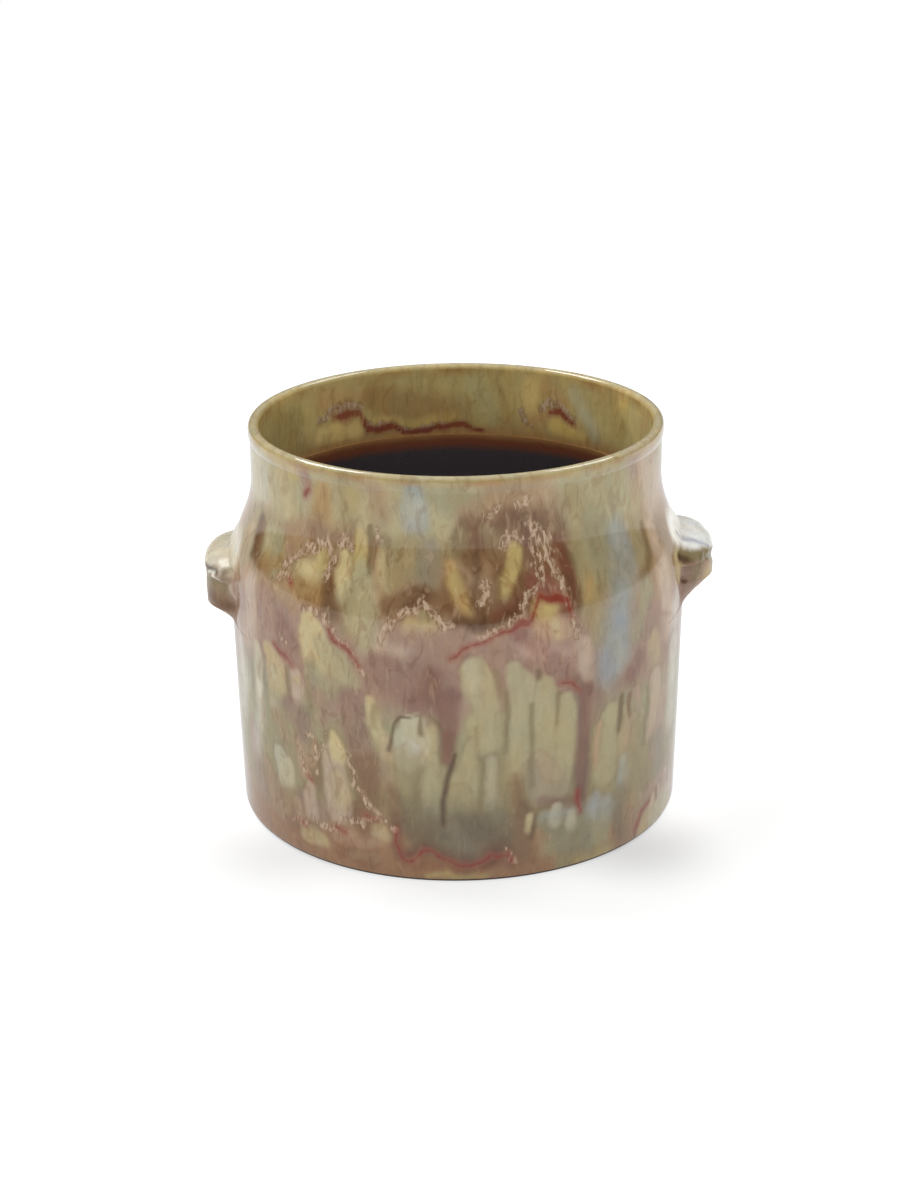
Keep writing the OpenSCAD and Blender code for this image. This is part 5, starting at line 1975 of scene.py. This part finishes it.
@dataclass
class Studio:
    """Plain pale floor, white surroundings, two overhead soft boxes and a fill from the front.

    The fill stays out of gloss. The floor's glow paints the pot's shadow: its brightness is that behind
    the pot plus that of the open floor, times the painted shadow at each front corner.
    """

    floor_radius: float = 4.0
    floor_sides: int = 96
    floor_grey: float = 0.85
    seen_grey: float = 0.35
    mirrored_light: float = 0.92
    world_strength: float = 0.80
    room_light: float = 0.06
    room_edge: float = -0.04
    # Painted shadow of the pot on the floor, round these places.
    behind: PaintedFloorShade = PaintedFloorShade(0.0, 0.12, 0.17, 0.25, 0.8, 0.66)
    open_floor: PaintedFloorShade = PaintedFloorShade(0.0, 0.0, 0.18, 0.28, 0.0, 0.2)
    left_painted_shadow: PaintedFloorShade = PaintedFloorShade(-0.098, -0.092, 0.0, 0.062, 0.78, 1.0)
    right_painted_shadow: PaintedFloorShade = PaintedFloorShade(0.1, -0.09, 0.0, 0.062, 0.62, 1.0)
    boxes: tuple[SoftBox, ...] = (
        SoftBox("soft_box_left", (-0.5, 0.3, 0.81), 1.7, 0.65, 12.0),
        SoftBox("soft_box_right", (0.5, 0.3, 0.81), 1.7, 0.65, 6.0),
        SoftBox("front_fill", (0.0, -0.75, 0.66), 2.4, 1.8, 10.0, mirrored=False),
    )

    def floor(self) -> None:
        """Lays a round floor: white to the camera apart from the pot's shadow, partly painted into its glow,
        and white in gloss.
        """
        turns = np.linspace(0, 2 * math.pi, self.floor_sides, endpoint=False)
        ring = np.stack([np.cos(turns), np.sin(turns), np.zeros(self.floor_sides)], 1)
        corners = list(range(self.floor_sides))
        piece = build_mesh("studio_floor", ring * self.floor_radius / MM, [corners])
        made = bpy.data.materials.new("studio_floor")
        nodes = Nodes.fresh(made)
        plain, lifted = (nodes.add("BsdfDiffuse") for _ in range(2))
        for shader, grey in ((plain, self.floor_grey), (lifted, self.seen_grey)):
            nodes.feed(shader.inputs[0], (grey, grey, grey, 1))
        mirrored = nodes.add("Emission")
        nodes.feed(mirrored.inputs["Strength"], self.mirrored_light)
        # Painted shadow: the glow is dimmed near the pot and at its front corners.
        light = nodes.plus(self.behind.brightness(nodes), self.open_floor.brightness(nodes))
        for corner in (self.left_painted_shadow, self.right_painted_shadow):
            light = nodes.times(light, corner.brightness(nodes))
        painted_shadow_glow = nodes.add("Emission")
        nodes.feed(painted_shadow_glow.inputs["Strength"], light)
        seen = nodes.add("AddShader")
        nodes.feed(seen.inputs[0], lifted.outputs[0])
        nodes.feed(seen.inputs[1], painted_shadow_glow.outputs[0])
        picked = nodes.by_ray(plain.outputs[0], mirrored.outputs[0], seen.outputs[0])
        nodes.feed(nodes.add("OutputMaterial").inputs[0], picked)
        piece.data.materials.append(made)

    def surroundings(self) -> None:
        """Makes the world: white to the camera, plain light to the pot, a dark upper room in its gloss."""
        world = bpy.data.worlds.new("studio")
        nodes = Nodes.fresh(world)
        split = nodes.add("SeparateXYZ")
        nodes.feed(split.inputs[0], nodes.add("TexCoord").outputs["Generated"])
        light, room, white = (nodes.add("Background") for _ in range(3))
        shade = nodes.ramp(split.outputs["Z"], self.room_edge, 0.0, 1.0, self.room_light)
        nodes.feed_all(light, Color=(1, 1, 1, 1), Strength=self.world_strength)
        nodes.feed(room.inputs["Color"], nodes.grey(shade, shade, shade))
        nodes.feed(white.inputs["Color"], (1, 1, 1, 1))
        picked = nodes.by_ray(light.outputs[0], room.outputs[0], white.outputs[0])
        nodes.feed(nodes.add("OutputWorld").inputs[0], picked)
        bpy.context.scene.world = world

    def build(self) -> None:
        """Builds floor, world and lamps."""
        self.floor()
        self.surroundings()
        for box in self.boxes:
            box.hang()


@dataclass(frozen=True)
class Viewpoint:
    """Camera that stands where the photographer stood, aimed at the pot's middle, in metres and degrees.

    The lens axis meets the picture at pixel axis_x, axis_y of a frame of frame_width by frame_height.
    """

    pot_height: float = 0.2291
    distance: float = 1.26035
    elevation: float = 21.09
    roll: float = 0.59
    lens: float = 64.71
    film_height: float = 36.0
    frame_width: float = 905.0
    frame_height: float = 1200.0
    axis_x: float = 457.46
    axis_y: float = 603.72

    def place(self) -> None:
        """Puts the camera on its place, turned by its roll."""
        lift = math.radians(self.elevation)
        roll = math.radians(self.roll)
        forward = Vector((0, math.cos(lift), -math.sin(lift)))
        right = Vector((1, 0, 0))
        up = right.cross(forward)
        turned = right * math.cos(roll) - up * math.sin(roll)
        upright = right * math.sin(roll) + up * math.cos(roll)
        lens = bpy.data.cameras.new("camera")
        lens.sensor_fit = "VERTICAL"
        lens.sensor_height = self.film_height
        lens.lens = self.lens
        lens.shift_x = (self.frame_width / 2 - self.axis_x) / self.frame_height
        lens.shift_y = (self.axis_y - self.frame_height / 2) / self.frame_height
        camera = bpy.data.objects.new("camera", lens)
        place = Vector((0, 0, self.pot_height / 2)) - forward * self.distance
        axes = Matrix((turned, upright, -forward)).transposed().to_4x4()
        camera.matrix_world = Matrix.Translation(place) @ axes
        bpy.context.scene.collection.objects.link(camera)
        bpy.context.scene.camera = camera


def main() -> None:
    """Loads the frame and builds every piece."""
    logging.basicConfig(level=logging.INFO, format="%(name)s: %(message)s")
    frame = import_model()
    profile = PotProfile()
    coat = GlazeCoat(profile)
    grain = GlazeGrain().build()
    glaze = GlazeFinish("drip_glaze").material(grain)
    rim_glaze = GlazeFinish("rim_glaze", relief=0.12, coat=0.6).material(grain)
    lug_glaze = GlazeFinish("lug_glaze", relief=0.35, gloss=0.4, blur=0.2).material(grain)
    body = PotBody(profile, coat, glaze, rim_glaze, ClayFinish().material())
    body.foot()
    body.wall()
    body.rim()
    PinchedLug(profile, coat, lug_glaze, Side.LEFT, 146.6, 14.8, LEFT_PUSHES).build()
    PinchedLug(profile, coat, lug_glaze, Side.RIGHT, 153.2, 17.2, RIGHT_PUSHES,
               hood_fall=4.5, web_drop=29.5, web_slope=50.0).build()
    liner = frame["nodes"]["liner_glaze"]
    liner.data.materials.clear()
    liner.data.materials.append(LinerFinish().material())
    log.info("%s keeps its own solid", liner.name)
    Studio().build()
    Viewpoint().place()
    bpy.context.scene.view_settings.view_transform = "Standard"


if __name__ == "__main__":
    main()
